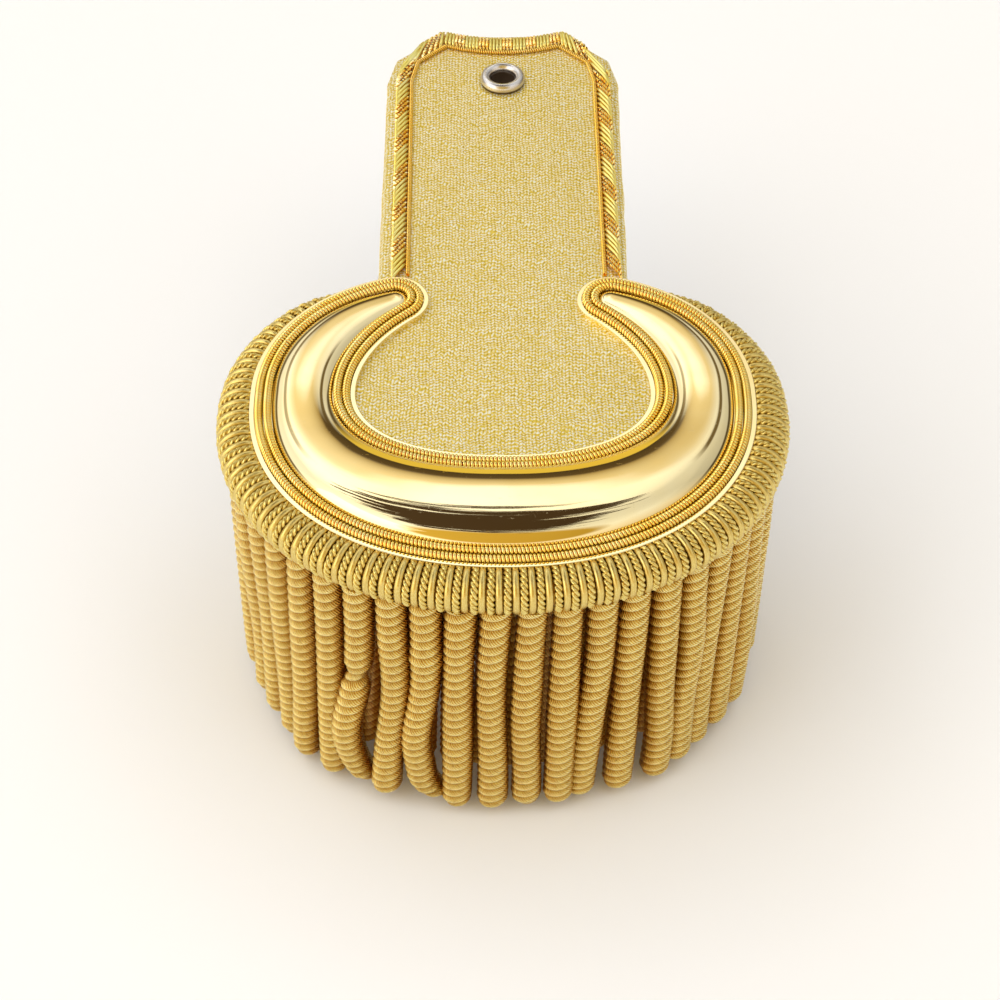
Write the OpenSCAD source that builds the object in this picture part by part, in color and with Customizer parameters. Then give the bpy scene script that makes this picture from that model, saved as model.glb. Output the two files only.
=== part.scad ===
// Full dress shoulder board: a stiff cloth-of-gold strap and round pad, a gilt crescent with two rows of
// coiled wire, a corded heading roll and a hanging bullion fringe.
// The underside of the pad is at z = 0 with the origin under the middle of the crescent.
// The strap points along +Y, towards the collar, and the fringe hangs down along -Z.

/* [Strap] */
// Width of the strap
strap_w = 56.8; // [54:0.2:59]
// Distance from the middle of the pad to the corners of the strap's end
strap_reach = 138.6; // [125:0.2:145]
// Width of the hollow-cut edge at the strap's end
end_w = 29.4; // [27:0.2:31]
// Depth of the hollow cut in the end edge
end_dip = 1.3; // [0.6:0.1:2]
// Width across of each slanted corner
corner_w = 11.9; // [11:0.1:12.5]
// Length along the strap of each slanted corner
corner_l = 11.3; // [10:0.1:12.5]
// Length over which the strap widens the last little below each corner
ease_l = 9; // [7:0.5:12]
// Thickness of the stiffened and cloth-covered board
board_t = 3.3; // [2.8:0.1:4]
// Thickness of the dark cloth lining under the board
lining_t = 1.2; // [0.8:0.1:1.6]

/* [Pad] */
// Angle from the front at which the strap's flare meets the pad
flare_at = 138.5; // [136:0.5:140]
// Angle from the front at which the lining's wider flare meets the pad
lining_flare_at = 135; // [132:0.5:136]

/* [Border] */
// Distance from the strap's edge to the middle of the padded border
border_in = 3.9; // [3.6:0.1:4.4]
// Width of the padded border
border_w = 3.5; // [3:0.1:3.8]
// Height of the padded border over the cloth
border_h = 1.5; // [1:0.1:1.8]
// Extra depth of the hollow cut that the border and the fine line follow
border_dip = 1.4; // [0.5:0.1:1.6]
// Distance from the strap's edge to the middle of the fine line
line_in = 6.7; // [6.7:0.1:7]
// Thickness of the fine line
line_d = 1.15; // [0.9:0.05:1.2]
// Distance from the middle of the pad at which the border and the fine line stop
border_from = 45.3; // [45:0.1:48]

/* [Eyelet] */
// Distance from the middle of the pad to the eyelet
eyelet_y = 118; // [110:0.5:122]
// Clear radius through the eyelet
eyelet_bore_r = 3.2; // [2.8:0.1:3.4]
// Wall of the eyelet's barrel
eyelet_wall = 0.35; // [0.3:0.05:0.4]
// Outer radius of the eyelet's rounded ring
eyelet_ring_r = 5.4; // [5:0.1:5.8]
// Height of the rounded ring over the cloth
eyelet_ring_h = 1.8; // [1.4:0.1:2]
// Thickness of the rolled lip under the lining
eyelet_back_h = 0.8; // [0.6:0.1:1]

/* [Crescent] */
// Half width of the crescent's middle line
spine_a = 43.4; // [42:0.2:44]
// Distance along Y from the origin to the crescent's widest place
spine_y = 6; // [5:0.5:7]
// Reach of the middle line forward of its widest place
spine_front = 35.35; // [34:0.05:36]
// Reach of the middle line back from its widest place
spine_back = 36; // [34:0.1:37]
// Squareness of the middle line's front half, where 2 is an ellipse
front_power = 2.2; // [2:0.05:2.4]
// Squareness of the middle line's back half, where 2 is an ellipse
back_power = 2.05; // [2:0.05:2.2]
// Angle from the front at which each tip's round end is centred
tip_at = 146.5; // [144:0.5:148]
// Half width of the crescent at the front
front_half = 15.75; // [15:0.05:16.5]
// Half width of the crescent at its sides
side_half = 10.9; // [10.4:0.1:11.2]
// Half width of the crescent at its tips
tip_half = 7.2; // [6.8:0.1:7.4]
// Width of the band between the crescent's edge and its dome
band_w = 4.45; // [4.4:0.05:4.6]
// Height of the rim over the cloth
rim_h = 1.15; // [1:0.05:1.3]
// Width of the rim
rim_w = 0.6; // [0.5:0.05:0.65]
// Thickness of the floor under the coiled wire
floor_h = 0.6; // [0.5:0.05:0.7]
// Rise of the dome for each millimetre of its half width
dome_rise = 0.44; // [0.36:0.02:0.5]
// Wall of the dome
dome_wall = 0.8; // [0.6:0.1:1]

/* [Coiled wire] */
// Thickness of each row of coiled wire
purl_d = 1.8; // [1.6:0.05:1.84]
// Distance from the crescent's edge to the outer row
rim_row_in = 1.55; // [1.53:0.01:1.6]
// Distance from the crescent's edge to the inner row
dome_row_in = 3.45; // [3.43:0.01:3.5]

/* [Heading] */
// Reach of the heading past the crescent's edge
heading_reach = 7.3; // [6.8:0.1:7.8]
// Rise of the heading over the cloth
heading_rise = 0.8; // [0.5:0.1:1]
// Depth of the heading under the lining
heading_drop = 4.6; // [4:0.1:5]
// Angle from the front at which the heading starts to get narrower
heading_taper_at = 85; // [75:1:110]
// Angle from the front at which the heading ends
heading_ends_at = 134; // [131:0.5:134]
// Reach of the heading's end as a share of its full reach
heading_end_reach = 0.35; // [0.3:0.05:0.5]
// Height of the heading's end as a share of its full height
heading_end_height = 0.5; // [0.4:0.05:0.8]

/* [Fringe] */
// Diameter of an outer bullion
bullion_d = 6.9; // [6:0.1:7]
// Lowest point of the fringe below the lining
fringe_drop = 68.5; // [55:0.5:75]
// Distance between the middles of neighbouring outer bullions
bullion_pitch = 7.25; // [7.25:0.05:9]
// How far the front bullions stand to the right of an even row, fading to none at the row's ends
bullion_shift = 2.5; // [0:0.5:2.5]
// Distance from the crescent's edge out to the middle of the outer bullions
bullion_out = 3; // [2.6:0.1:3.2]
// How far the outer row draws in where the heading gets narrower
bullion_pull = 1.4; // [1:0.1:1.4]
// Angle from the front at which the outer bullions end
fringe_ends_at = 124; // [120:1:126]
// Diameter of an inner bullion
inner_d = 5.4; // [4.5:0.1:5.6]
// Distance between the middles of neighbouring inner bullions
inner_pitch = 6.4; // [6:0.1:9]
// Angle from the front at which the inner bullions end
inner_ends_at = 119; // [112:1:121]
// Distance from the crescent's edge in to the middle of the inner bullions
inner_in = 4; // [3.9:0.1:5]
// How much shorter the inner bullions are
inner_short = 6; // [4:0.5:10]
// Height of the woven head that the bullions hang from
head_h = 3; // [2:0.2:4]

/* [Hidden] */
gap = 0.3;
top_z = lining_t + board_t;
half_w = strap_w / 2;
slope_step = 0.5;
edge_step = 6;
cap_steps = 8;
fillet_steps = 5;
end_steps = 8;
heading_step = 5.5;
head_step = 6;
head_share = 0.22;
run_step = 2;
bullion_fn = 24;
eyelet_clear = 0.2;
round_fn = 72;

// Cloth edge of the board: how far each layer stands in from the outline, and its share of the thickness
EDGE_LAYERS = [
    [0.5, 0.0],
    [0.0, 0.3],
    [0.1, 0.6],
    [0.6, 0.88],
    [1.4, 1.0]
];

// Outline of the heading roll: share of its reach, and share of its height up or down from the board's middle
HEADING_SECTION = [
    [0.04, 0.86],
    [0.22, 1.0],
    [0.5, 0.93],
    [0.74, 0.68],
    [0.92, 0.25],
    [1.0, -0.25],
    [0.95, -0.55],
    [0.8, -0.8],
    [0.56, -0.96],
    [0.3, -1.0],
    [0.04, -0.98]
];

// Half width of the dome left at each step up to its crest, as a share of its foot's half width
DOME_STEPS = [0.985, 0.92, 0.78, 0.56, 0.3];

// Power of a number that keeps its sign
function signed_power(v, p) = sign(v) * pow(abs(v), p);

// Unit vector and left-to-right turn of a plane vector
function unit(v) = v / norm(v);
function outward(v) = [v[1], -v[0]];

// Middle line of the crescent, where angle 0 is the front and 90 is the right side
function spine(t) =
    let (
        front = cos(t) > 0,
        power = 2 / (front ? front_power : back_power),
        reach = front ? spine_front : spine_back
    )
    [spine_a * signed_power(sin(t), power), spine_y - reach * signed_power(cos(t), power)];

// Half width of the crescent at an angle from the front
function half_width(t) =
    abs(t) < 90
        ? side_half + (front_half - side_half) * pow(cos(t), 1.4)
        : side_half - (side_half - tip_half) * pow((abs(t) - 90) / (tip_at - 90), 2.2);

// Direction of the middle line, and how fast the half width changes along it
function spine_step(t) = spine(t + slope_step) - spine(t - slope_step);
function width_slope(t) = (half_width(t + slope_step) - half_width(t - slope_step)) / norm(spine_step(t));

// Unit vector from the middle line to the crescent's edge, on the outer side (1) or the inner side (-1)
function to_edge(t, side) =
    let (along = unit(spine_step(t)), slope = width_slope(t))
    -slope * along + side * sqrt(1 - slope * slope) * outward(along);

// Point at a distance past the crescent's outer edge, which is also the pad's edge
function pad_edge(t, past) = spine(t) + (half_width(t) + past) * to_edge(t, 1);

// Numbers from one value to another in even steps near a wanted step
function span(from, to, step) =
    let (count = max(1, round(abs(to - from) / step)))
    [for (i = [0:count]) from + (to - from) * i / count];

// Mirror image across the strap's middle, in reverse order
function mirrored(points) = [for (i = [len(points) - 1:-1:0]) [-points[i][0], points[i][1]]];

// Point that lies a distance inside the corner b of the path a, b, c, with the inside on the right
function inset_corner(a, b, c, inset) =
    let (
        n1 = outward(unit(b - a)),
        n2 = outward(unit(c - b))
    )
    b + (n1 + n2) * inset / (1 + n1 * n2);

// Corners of the strap's right side, from the end's hollow edge down
CORNERS = [
    [0, strap_reach],
    [end_w / 2, strap_reach],
    [end_w / 2 + corner_w, strap_reach - corner_l],
    [half_w, strap_reach - corner_l - ease_l],
    [half_w, 0]
];

// Right half of the strap's end at an inset: the hollow edge from its middle, then the corners
function strap_end(inset, dip) =
    let (first = inset_corner(CORNERS[0], CORNERS[1], CORNERS[2], inset))
    concat(
        [for (i = [0:end_steps - 1])
            let (share = i / end_steps)
            [first[0] * share, first[1] - dip * (1 - share * share)]],
        [for (i = [1:3]) inset_corner(CORNERS[i - 1], CORNERS[i], CORNERS[i + 1], inset)]
    );

// Right half of the outline from the flare down to the front, for a flare that meets the pad at an angle
function flare_and_pad(inset, meets_at) =
    let (
        foot = pad_edge(meets_at, 0),
        away = to_edge(meets_at, 1),
        r = (foot[0] - half_w) / (1 - away[0]),
        centre = foot + r * away,
        last = atan2(-away[1], -away[0]) + 360
    )
    concat(
        [for (a = span(180, last, (last - 180) / fillet_steps))
            centre + (r + inset) * [cos(a), sin(a)]],
        [for (t = span(meets_at - edge_step, 0, edge_step)) pad_edge(t, -inset)]
    );

// Whole outline of the strap and pad, clockwise from the middle of the end
function board_outline(inset, meets_at) =
    let (
        right = concat(strap_end(inset, end_dip), flare_and_pad(inset, meets_at)),
        left = mirrored(right)
    )
    concat(right, [for (i = [1:len(left) - 2]) left[i]]);

// Triangles that close a ring with no hollow place in it
function fan_cap(count) = [for (i = [1:count - 2]) [0, i, i + 1]];

// Triangles that close the board's outline: those at the hollow end, then rungs from side to side
function board_cap(count) =
    let (right = end_steps + 1, left = count - right, front = count / 2)
    concat(
        [for (k = [0:end_steps - 1]) [k, k + 1, right]],
        [for (k = [0:end_steps - 1]) [(count - k) % count, left, count - k - 1]],
        [[0, right, left]],
        [for (i = [right:front - 1]) [i, i + 1, count - i]],
        [for (i = [right:front - 2]) [i + 1, count - i - 1, count - i]]
    );

// Solid through closed rings of equal length, clockwise seen from above and listed from the bottom up
module loft(rings, cap) {
    count = len(rings[0]);
    layers = len(rings);
    polyhedron(
        points = [for (ring = rings) for (p = ring) p],
        faces = concat(
            [for (tri = cap) [tri[2], tri[1], tri[0]]],
            [for (k = [0:layers - 2]) for (i = [0:count - 1])
                let (j = (i + 1) % count)
                [k * count + i, k * count + j, (k + 1) * count + j]],
            [for (k = [0:layers - 2]) for (i = [0:count - 1])
                let (j = (i + 1) % count)
                [k * count + i, (k + 1) * count + j, (k + 1) * count + i]],
            [for (tri = cap) [for (i = tri) (layers - 1) * count + i]]
        )
    );
}

// Solid ring through sections of equal length, closed back on itself
module loop_sweep(sections) {
    count = len(sections[0]);
    stations = len(sections);
    polyhedron(
        points = [for (section = sections) for (p = section) p],
        faces = [
            for (k = [0:stations - 1]) for (i = [0:count - 1]) for (half = [0, 1])
                let (
                    j = (i + 1) % count,
                    next = (k + 1) % stations,
                    a = k * count + i,
                    b = k * count + j,
                    c = next * count + j,
                    d = next * count + i
                )
                half == 0 ? [a, b, c] : [a, c, d]
        ]
    );
}

// Ring at a height from a flat outline
function lift(outline, z) = [for (p = outline) [p[0], p[1], z]];

// Stations around the crescent: middle point, unit vector to the edge and half width, anticlockwise
SIDE_ANGLES = span(-tip_at, tip_at, edge_step);
function side_station(t, side) = [spine(t), to_edge(t, side), half_width(t), t];
function tip_stations(t, first, last) =
    [for (i = [1:cap_steps - 1])
        let (a = first + (last - first) * i / cap_steps)
        [spine(t), [cos(a), sin(a)], half_width(t), t]];
function heading_of(v) = atan2(v[1], v[0]);
RIGHT_FROM = heading_of(to_edge(tip_at, 1));
RIGHT_TO = heading_of(to_edge(tip_at, -1)) + 360;
STATIONS = concat(
    [for (t = SIDE_ANGLES) side_station(t, 1)],
    tip_stations(tip_at, RIGHT_FROM, RIGHT_TO),
    [for (i = [len(SIDE_ANGLES) - 1:-1:0]) side_station(SIDE_ANGLES[i], -1)],
    tip_stations(-tip_at, 180 - RIGHT_TO, 180 - RIGHT_FROM)
);

// Point at a station, a distance in from the crescent's edge
function station_point(s, inset, z) =
    let (p = s[0] + (s[2] - inset) * s[1])
    [p[0], p[1], z];

// Height of the dome over its foot for a share of the foot's half width left to the crest
function dome_height(s, share) = dome_rise * (s[2] - band_w) * sqrt(1 - share * share);

// Rings of the crescent's outside from its lower edge to near the crest
FLOOR = top_z + floor_h;
FOOT = top_z + floor_h + 0.35;
BAND_RINGS = [
    [0, top_z],
    [0.05, top_z + rim_h * 0.7],
    [rim_w * 0.5, top_z + rim_h],
    [rim_w, FLOOR],
    [band_w * 0.55, FLOOR],
    [band_w * 0.57, FOOT],
    [band_w, FOOT]
];
function band_ring(row) = [for (s = STATIONS) station_point(s, row[0], row[1])];
function dome_ring(share) =
    [for (s = STATIONS) station_point(s, s[2] - share * (s[2] - band_w), FOOT + dome_height(s, share))];
function hollow_ring(share) =
    [for (s = STATIONS)
        let (half = s[2] - band_w - dome_wall)
        station_point(s, s[2] - share * half, max(top_z, FOOT + dome_height(s, share) - dome_wall))];

// Crest points over the middle line, one for each side angle
function crest(drop) =
    [for (t = SIDE_ANGLES)
        let (s = side_station(t, 1), p = spine(t))
        [p[0], p[1], FOOT + dome_height(s, 0) - drop]];

// Which crest point a station leans to
SIDES = len(SIDE_ANGLES);
TIP_COUNT = cap_steps - 1;
function crest_index(i) =
    i < SIDES ? i
    : i < SIDES + TIP_COUNT ? SIDES - 1
    : i < 2 * SIDES + TIP_COUNT ? 2 * SIDES + TIP_COUNT - 1 - i
    : 0;

// Gilt crescent: rim, two-step floor for the coiled wire, and a hollow dome that narrows to its tips
module crescent() {
    outer = concat([for (row = BAND_RINGS) band_ring(row)], [for (share = DOME_STEPS) dome_ring(share)]);
    inner = [
        [for (s = STATIONS) station_point(s, band_w + dome_wall, top_z)],
        hollow_ring(0.9),
        hollow_ring(0.56)
    ];
    count = len(STATIONS);
    outer_layers = len(outer);
    inner_from = outer_layers * count;
    inner_layers = len(inner);
    crest_from = inner_from + inner_layers * count;
    hollow_crest_from = crest_from + SIDES;
    outer_quads = [
        for (k = [0:outer_layers - 2]) for (i = [0:count - 1])
            let (j = (i + 1) % count)
            [k * count + i, k * count + j, (k + 1) * count + j, (k + 1) * count + i]
    ];
    outer_top = [
        for (i = [0:count - 1])
            let (j = (i + 1) % count, k = (outer_layers - 1) * count)
            [k + i, k + j, crest_from + crest_index(j), crest_from + crest_index(i)]
    ];
    foot_quads = [
        for (i = [0:count - 1])
            let (j = (i + 1) % count)
            [inner_from + i, inner_from + j, j, i]
    ];
    inner_quads = [
        for (k = [0:inner_layers - 2]) for (i = [0:count - 1])
            let (j = (i + 1) % count, low = inner_from + k * count, high = low + count)
            [high + i, high + j, low + j, low + i]
    ];
    inner_top = [
        for (i = [0:count - 1])
            let (j = (i + 1) % count, k = inner_from + (inner_layers - 1) * count)
            [hollow_crest_from + crest_index(i), hollow_crest_from + crest_index(j), k + j, k + i]
    ];
    quads = concat(outer_quads, outer_top, foot_quads, inner_quads, inner_top);
    color("goldenrod")
        polyhedron(
            points = concat(
                [for (ring = outer) for (p = ring) p],
                [for (ring = inner) for (p = ring) p],
                crest(0),
                crest(dome_wall)
            ),
            faces = [
                for (q = quads) for (tri = [[q[0], q[3], q[2]], [q[0], q[2], q[1]]])
                    if (tri[0] != tri[1] && tri[1] != tri[2] && tri[2] != tri[0]) tri
            ]
        );
}

// One closed row of coiled wire around the crescent, as the tube that its turns fill
module purl_row(inset, z) {
    sides = 6;
    loop_sweep([
        for (s = STATIONS) [
            for (i = [0:sides - 1])
                let (a = 360 * i / sides)
                station_point(s, inset + purl_d / 2 * cos(a), z + purl_d / 2 * sin(a))
        ]
    ]);
}

module rim_purl() {
    color("gold") purl_row(rim_row_in, FLOOR + 0.15 + purl_d / 2);
}

module dome_purl() {
    color("gold") purl_row(dome_row_in, FOOT + 0.15 + purl_d / 2);
}

// Dark cloth lining, a little wider than the board at the flares
module lining() {
    color("midnightblue")
        difference() {
            linear_extrude(lining_t) polygon(board_outline(0, lining_flare_at));
            translate([0, eyelet_y, -1])
                cylinder(r = eyelet_bore_r + eyelet_wall + eyelet_clear, h = lining_t + 2, $fn = round_fn);
        }
}

// Stiffened board under its metal cloth, with a rounded edge
module board() {
    color("palegoldenrod")
        difference() {
            loft(
                [for (row = EDGE_LAYERS)
                    lift(board_outline(row[0], flare_at), lining_t + row[1] * board_t)],
                board_cap(len(board_outline(0, flare_at)))
            );
            translate([0, eyelet_y, 0])
                cylinder(r = eyelet_bore_r + eyelet_wall + eyelet_clear, h = top_z + 2, $fn = round_fn);
        }
}

// Path of the border or the fine line at an inset, from the left side's lower end round to the right's
function border_path(inset) =
    let (
        right = concat(strap_end(inset, end_dip + border_dip), [[half_w - inset, border_from]]),
        left = mirrored(right)
    )
    concat([for (i = [0:len(left) - 2]) left[i]], right);

// Direction across the path at one of its points, and how much a mitre widens it there
function path_across(path, i) =
    let (
        before = unit(path[max(i, 1)] - path[max(i, 1) - 1]),
        after = unit(path[min(i, len(path) - 2) + 1] - path[min(i, len(path) - 2)]),
        sum = outward(before) + outward(after)
    )
    2 * sum / (sum * sum);

// Solid strip along a path, from a section of points across and up
module strip(path, section, z) {
    loft_sections = [
        for (i = [0:len(path) - 1])
            let (across = path_across(path, i))
            [for (p = section) [path[i][0] + across[0] * p[0], path[i][1] + across[1] * p[0], z + p[1]]]
    ];
    loft(loft_sections, fan_cap(len(section)));
}

// Padded border of slanting wire strands around the strap
module border() {
    half = border_w / 2;
    section = [for (a = [180:-30:0]) [half * cos(a), border_h * sin(a)]];
    color("gold") strip(border_path(border_in), section, top_z);
}

// Fine line of coiled wire just inside the border
module fine_line() {
    section = [for (a = [0:-60:-300]) [line_d / 2 * cos(a), line_d / 2 * sin(a)]];
    color("goldenrod") strip(border_path(line_in), section, top_z + line_d / 2);
}

// Half circle of a rolled lip, between two radii, rising to a height from a base
function lip(r_in, r_out, base, rise) =
    [for (a = [180:-20:0])
        [(r_in + r_out) / 2 + (r_out - r_in) / 2 * cos(a), base + rise * sin(a)]];

// Nickel eyelet: a straight barrel, a rounded ring on the cloth and a rolled lip under the lining
module eyelet() {
    barrel_r = eyelet_bore_r + eyelet_wall;
    ring_base = top_z + eyelet_ring_h * 0.4;
    color("silver")
        translate([0, eyelet_y, 0])
            rotate_extrude($fn = round_fn)
                polygon(concat(
                    lip(eyelet_bore_r, eyelet_ring_r, ring_base, eyelet_ring_h * 0.6),
                    [[eyelet_ring_r - 0.1, top_z], [barrel_r, top_z], [barrel_r, 0]],
                    [for (p = lip(eyelet_bore_r, eyelet_ring_r - 0.5, 0, eyelet_back_h))
                        let (x = eyelet_bore_r + eyelet_ring_r - 0.5 - p[0])
                        [x, -p[1]]]
                ));
}

// Reach of the heading at an angle from the front, as a share of its full reach
function reach_share(t) =
    abs(t) < heading_taper_at
        ? 1
        : 1 - (1 - heading_end_reach)
            * pow((abs(t) - heading_taper_at) / (heading_ends_at - heading_taper_at), 1.5);

// Height of the heading at an angle from the front: full over the fringe, then drawn in
function height_share(t) =
    abs(t) < fringe_ends_at
        ? 1
        : 1 - (1 - heading_end_height) * (abs(t) - fringe_ends_at) / (heading_ends_at - fringe_ends_at);

// Point of the heading's outline at an angle from the front
function heading_point(t, share) =
    let (
        middle = top_z / 2,
        height = share[1] > 0 ? middle + heading_rise : middle + heading_drop,
        edge = pad_edge(t, max(gap, share[0] * heading_reach * reach_share(t)))
    )
    [edge[0], edge[1], middle + share[1] * height * height_share(t)];

// Corded roll around the pad's edge
module heading() {
    color("khaki")
        loft(
            [for (t = span(-heading_ends_at, heading_ends_at, heading_step))
                [for (share = HEADING_SECTION) heading_point(t, share)]],
            fan_cap(len(HEADING_SECTION))
        );
}

// Profile of a hanging bullion from its axis: straight, then drawn in to a blunt round end
function bullion_profile(r, length) = [
    [0, 0],
    [r, 0],
    [r, -length + 2.4 * r],
    [r * 0.94, -length + 1.2 * r],
    [r * 0.8, -length + 0.45 * r],
    [r * 0.5, -length + 0.08 * r],
    [r * 0.3, -length],
    [0, -length]
];

// Point of a row of bullions, which draws in by a pull where the heading gets narrower
function row_point(t, past, pull) = pad_edge(t, past - pull * (1 - reach_share(t)));

// Distance run along a row of bullions up to each angle, as rows of distance and angle
function row_runs(past, pull, ends_at) =
    let (
        angles = span(-ends_at, ends_at, run_step),
        points = [for (t = angles) row_point(t, past, pull)]
    )
    [for (
        i = 0, run = 0;
        i < len(angles);
        i = i + 1,
        run = run + (i < len(angles) ? norm(points[i] - points[i - 1]) : 0)
    ) [run, angles[i]]];

// Row of evenly spaced bullions that hang from a woven head around the pad's edge
module bullion_row(past, pull, d, pitch, shift, ends_at, top, low) {
    runs = row_runs(past, pull, ends_at);
    total = runs[len(runs) - 1][0];
    count = floor(total / pitch);
    head = concat(
        [for (t = span(-ends_at, ends_at, head_step)) row_point(t, past - d * head_share, pull)],
        [for (t = span(ends_at, -ends_at, head_step)) row_point(t, past + d * head_share, pull)]
    );
    translate([0, 0, top - head_h]) linear_extrude(head_h) polygon(head);
    for (i = [0:count]) {
        run = total * i / count + shift * sin(180 * i / count);
        p = row_point(lookup(run, runs), past, pull);
        translate([p[0], p[1], top])
            rotate_extrude($fn = bullion_fn) polygon(bullion_profile(d / 2, low + top));
    }
}

module fringe() {
    color("darkgoldenrod")
        bullion_row(
            bullion_out, bullion_pull, bullion_d, bullion_pitch, bullion_shift, fringe_ends_at,
            -heading_drop - gap, fringe_drop
        );
}

module inner_fringe() {
    color("peru")
        bullion_row(-inner_in, 0, inner_d, inner_pitch, 0, inner_ends_at, -gap, fringe_drop - inner_short);
}

lining();
board();
border();
fine_line();
eyelet();
crescent();
rim_purl();
dome_purl();
heading();
fringe();
inner_fringe();
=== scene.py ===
"""Dresses a full dress shoulder board: cloth of gold, a gilt crescent, coiled wire, a corded heading and bullions.

Plan sizes are in millimetres, as on a maker's drawing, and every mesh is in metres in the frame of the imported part.
"""

import logging
import math
import random
from collections.abc import Callable, Iterator, Sequence
from contextlib import contextmanager
from dataclasses import dataclass
from enum import Enum
from functools import lru_cache

import bpy
import numpy as np
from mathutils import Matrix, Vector

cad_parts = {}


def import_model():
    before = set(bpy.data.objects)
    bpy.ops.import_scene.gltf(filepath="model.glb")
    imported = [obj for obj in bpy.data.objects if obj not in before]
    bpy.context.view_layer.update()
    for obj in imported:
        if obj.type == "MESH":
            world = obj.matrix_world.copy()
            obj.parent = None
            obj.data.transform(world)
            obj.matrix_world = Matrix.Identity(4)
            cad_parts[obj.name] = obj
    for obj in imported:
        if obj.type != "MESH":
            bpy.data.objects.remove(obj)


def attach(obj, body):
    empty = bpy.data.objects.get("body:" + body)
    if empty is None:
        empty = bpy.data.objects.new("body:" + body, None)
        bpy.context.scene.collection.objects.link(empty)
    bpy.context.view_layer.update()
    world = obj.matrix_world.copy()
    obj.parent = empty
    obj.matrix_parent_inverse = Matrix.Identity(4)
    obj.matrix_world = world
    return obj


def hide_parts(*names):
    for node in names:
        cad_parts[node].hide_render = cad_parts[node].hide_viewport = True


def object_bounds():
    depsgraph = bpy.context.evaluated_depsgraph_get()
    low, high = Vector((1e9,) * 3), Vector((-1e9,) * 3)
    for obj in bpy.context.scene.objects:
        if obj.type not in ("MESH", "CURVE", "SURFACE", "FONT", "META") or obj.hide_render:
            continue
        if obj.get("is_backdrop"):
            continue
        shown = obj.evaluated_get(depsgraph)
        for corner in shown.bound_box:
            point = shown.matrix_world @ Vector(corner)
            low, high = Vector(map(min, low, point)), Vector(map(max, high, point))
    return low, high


Piece = bpy.types.Object
Socket = bpy.types.NodeSocket

LOG = logging.getLogger("shoulder_board")
MM = 0.001
# How near, in millimetres, two vertices are one.
WELD = 0.002
FULL_TURN = 2 * math.pi
UP = np.array([0.0, 0.0, 1.0])


class Side(Enum):
    """The two sides of the middle line, as seen in plan."""

    OUTER = 1
    INNER = -1


class Strand(Enum):
    """The two kinds of wire that the strap's border is laid with."""

    SMOOTH = "smooth"
    CHECK = "check"


def signed_power(value: float, power: float) -> float:
    """Raises the size of a number to a power and keeps its sign."""
    return math.copysign(abs(value) ** power, value)


def unit(vector: np.ndarray) -> np.ndarray:
    """Gives vectors, along the last axis, a length of one."""
    return vector / np.linalg.norm(vector, axis=-1, keepdims=True)


def even_steps(first: float, last: float, step: float) -> list[float]:
    """Spaces numbers evenly from one value to another.

    Args:
        first: The first number.
        last: The last number.
        step: The wanted distance between neighbours.

    Returns:
        The numbers, both ends included.
    """
    count = max(1, round(abs(last - first) / step))
    return [first + (last - first) * i / count for i in range(count + 1)]


def run_up(points: np.ndarray) -> np.ndarray:
    """Distance run along a line of points up to each of them."""
    return np.concatenate([[0.0], np.cumsum(np.linalg.norm(np.diff(points, axis=0), axis=1))])


def mirrored(points: list[np.ndarray]) -> list[np.ndarray]:
    """Plan points mirrored in the middle line, from last to first."""
    return [np.array([-p[0], p[1]]) for p in reversed(points)]


def end_rounding(share: float, length: float, radius: float) -> float:
    """Share of a cord's thickness that its rounded end leaves.

    Args:
        share: The place along the cord, from zero to one.
        length: The cord's length.
        radius: How far the rounding of each end reaches.

    Returns:
        Zero at the very end, and one past the rounding.
    """
    from_end = min(share, 1 - share) * length
    return math.sqrt(max(0.0, 1 - (1 - min(1.0, from_end / radius)) ** 2))


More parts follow.
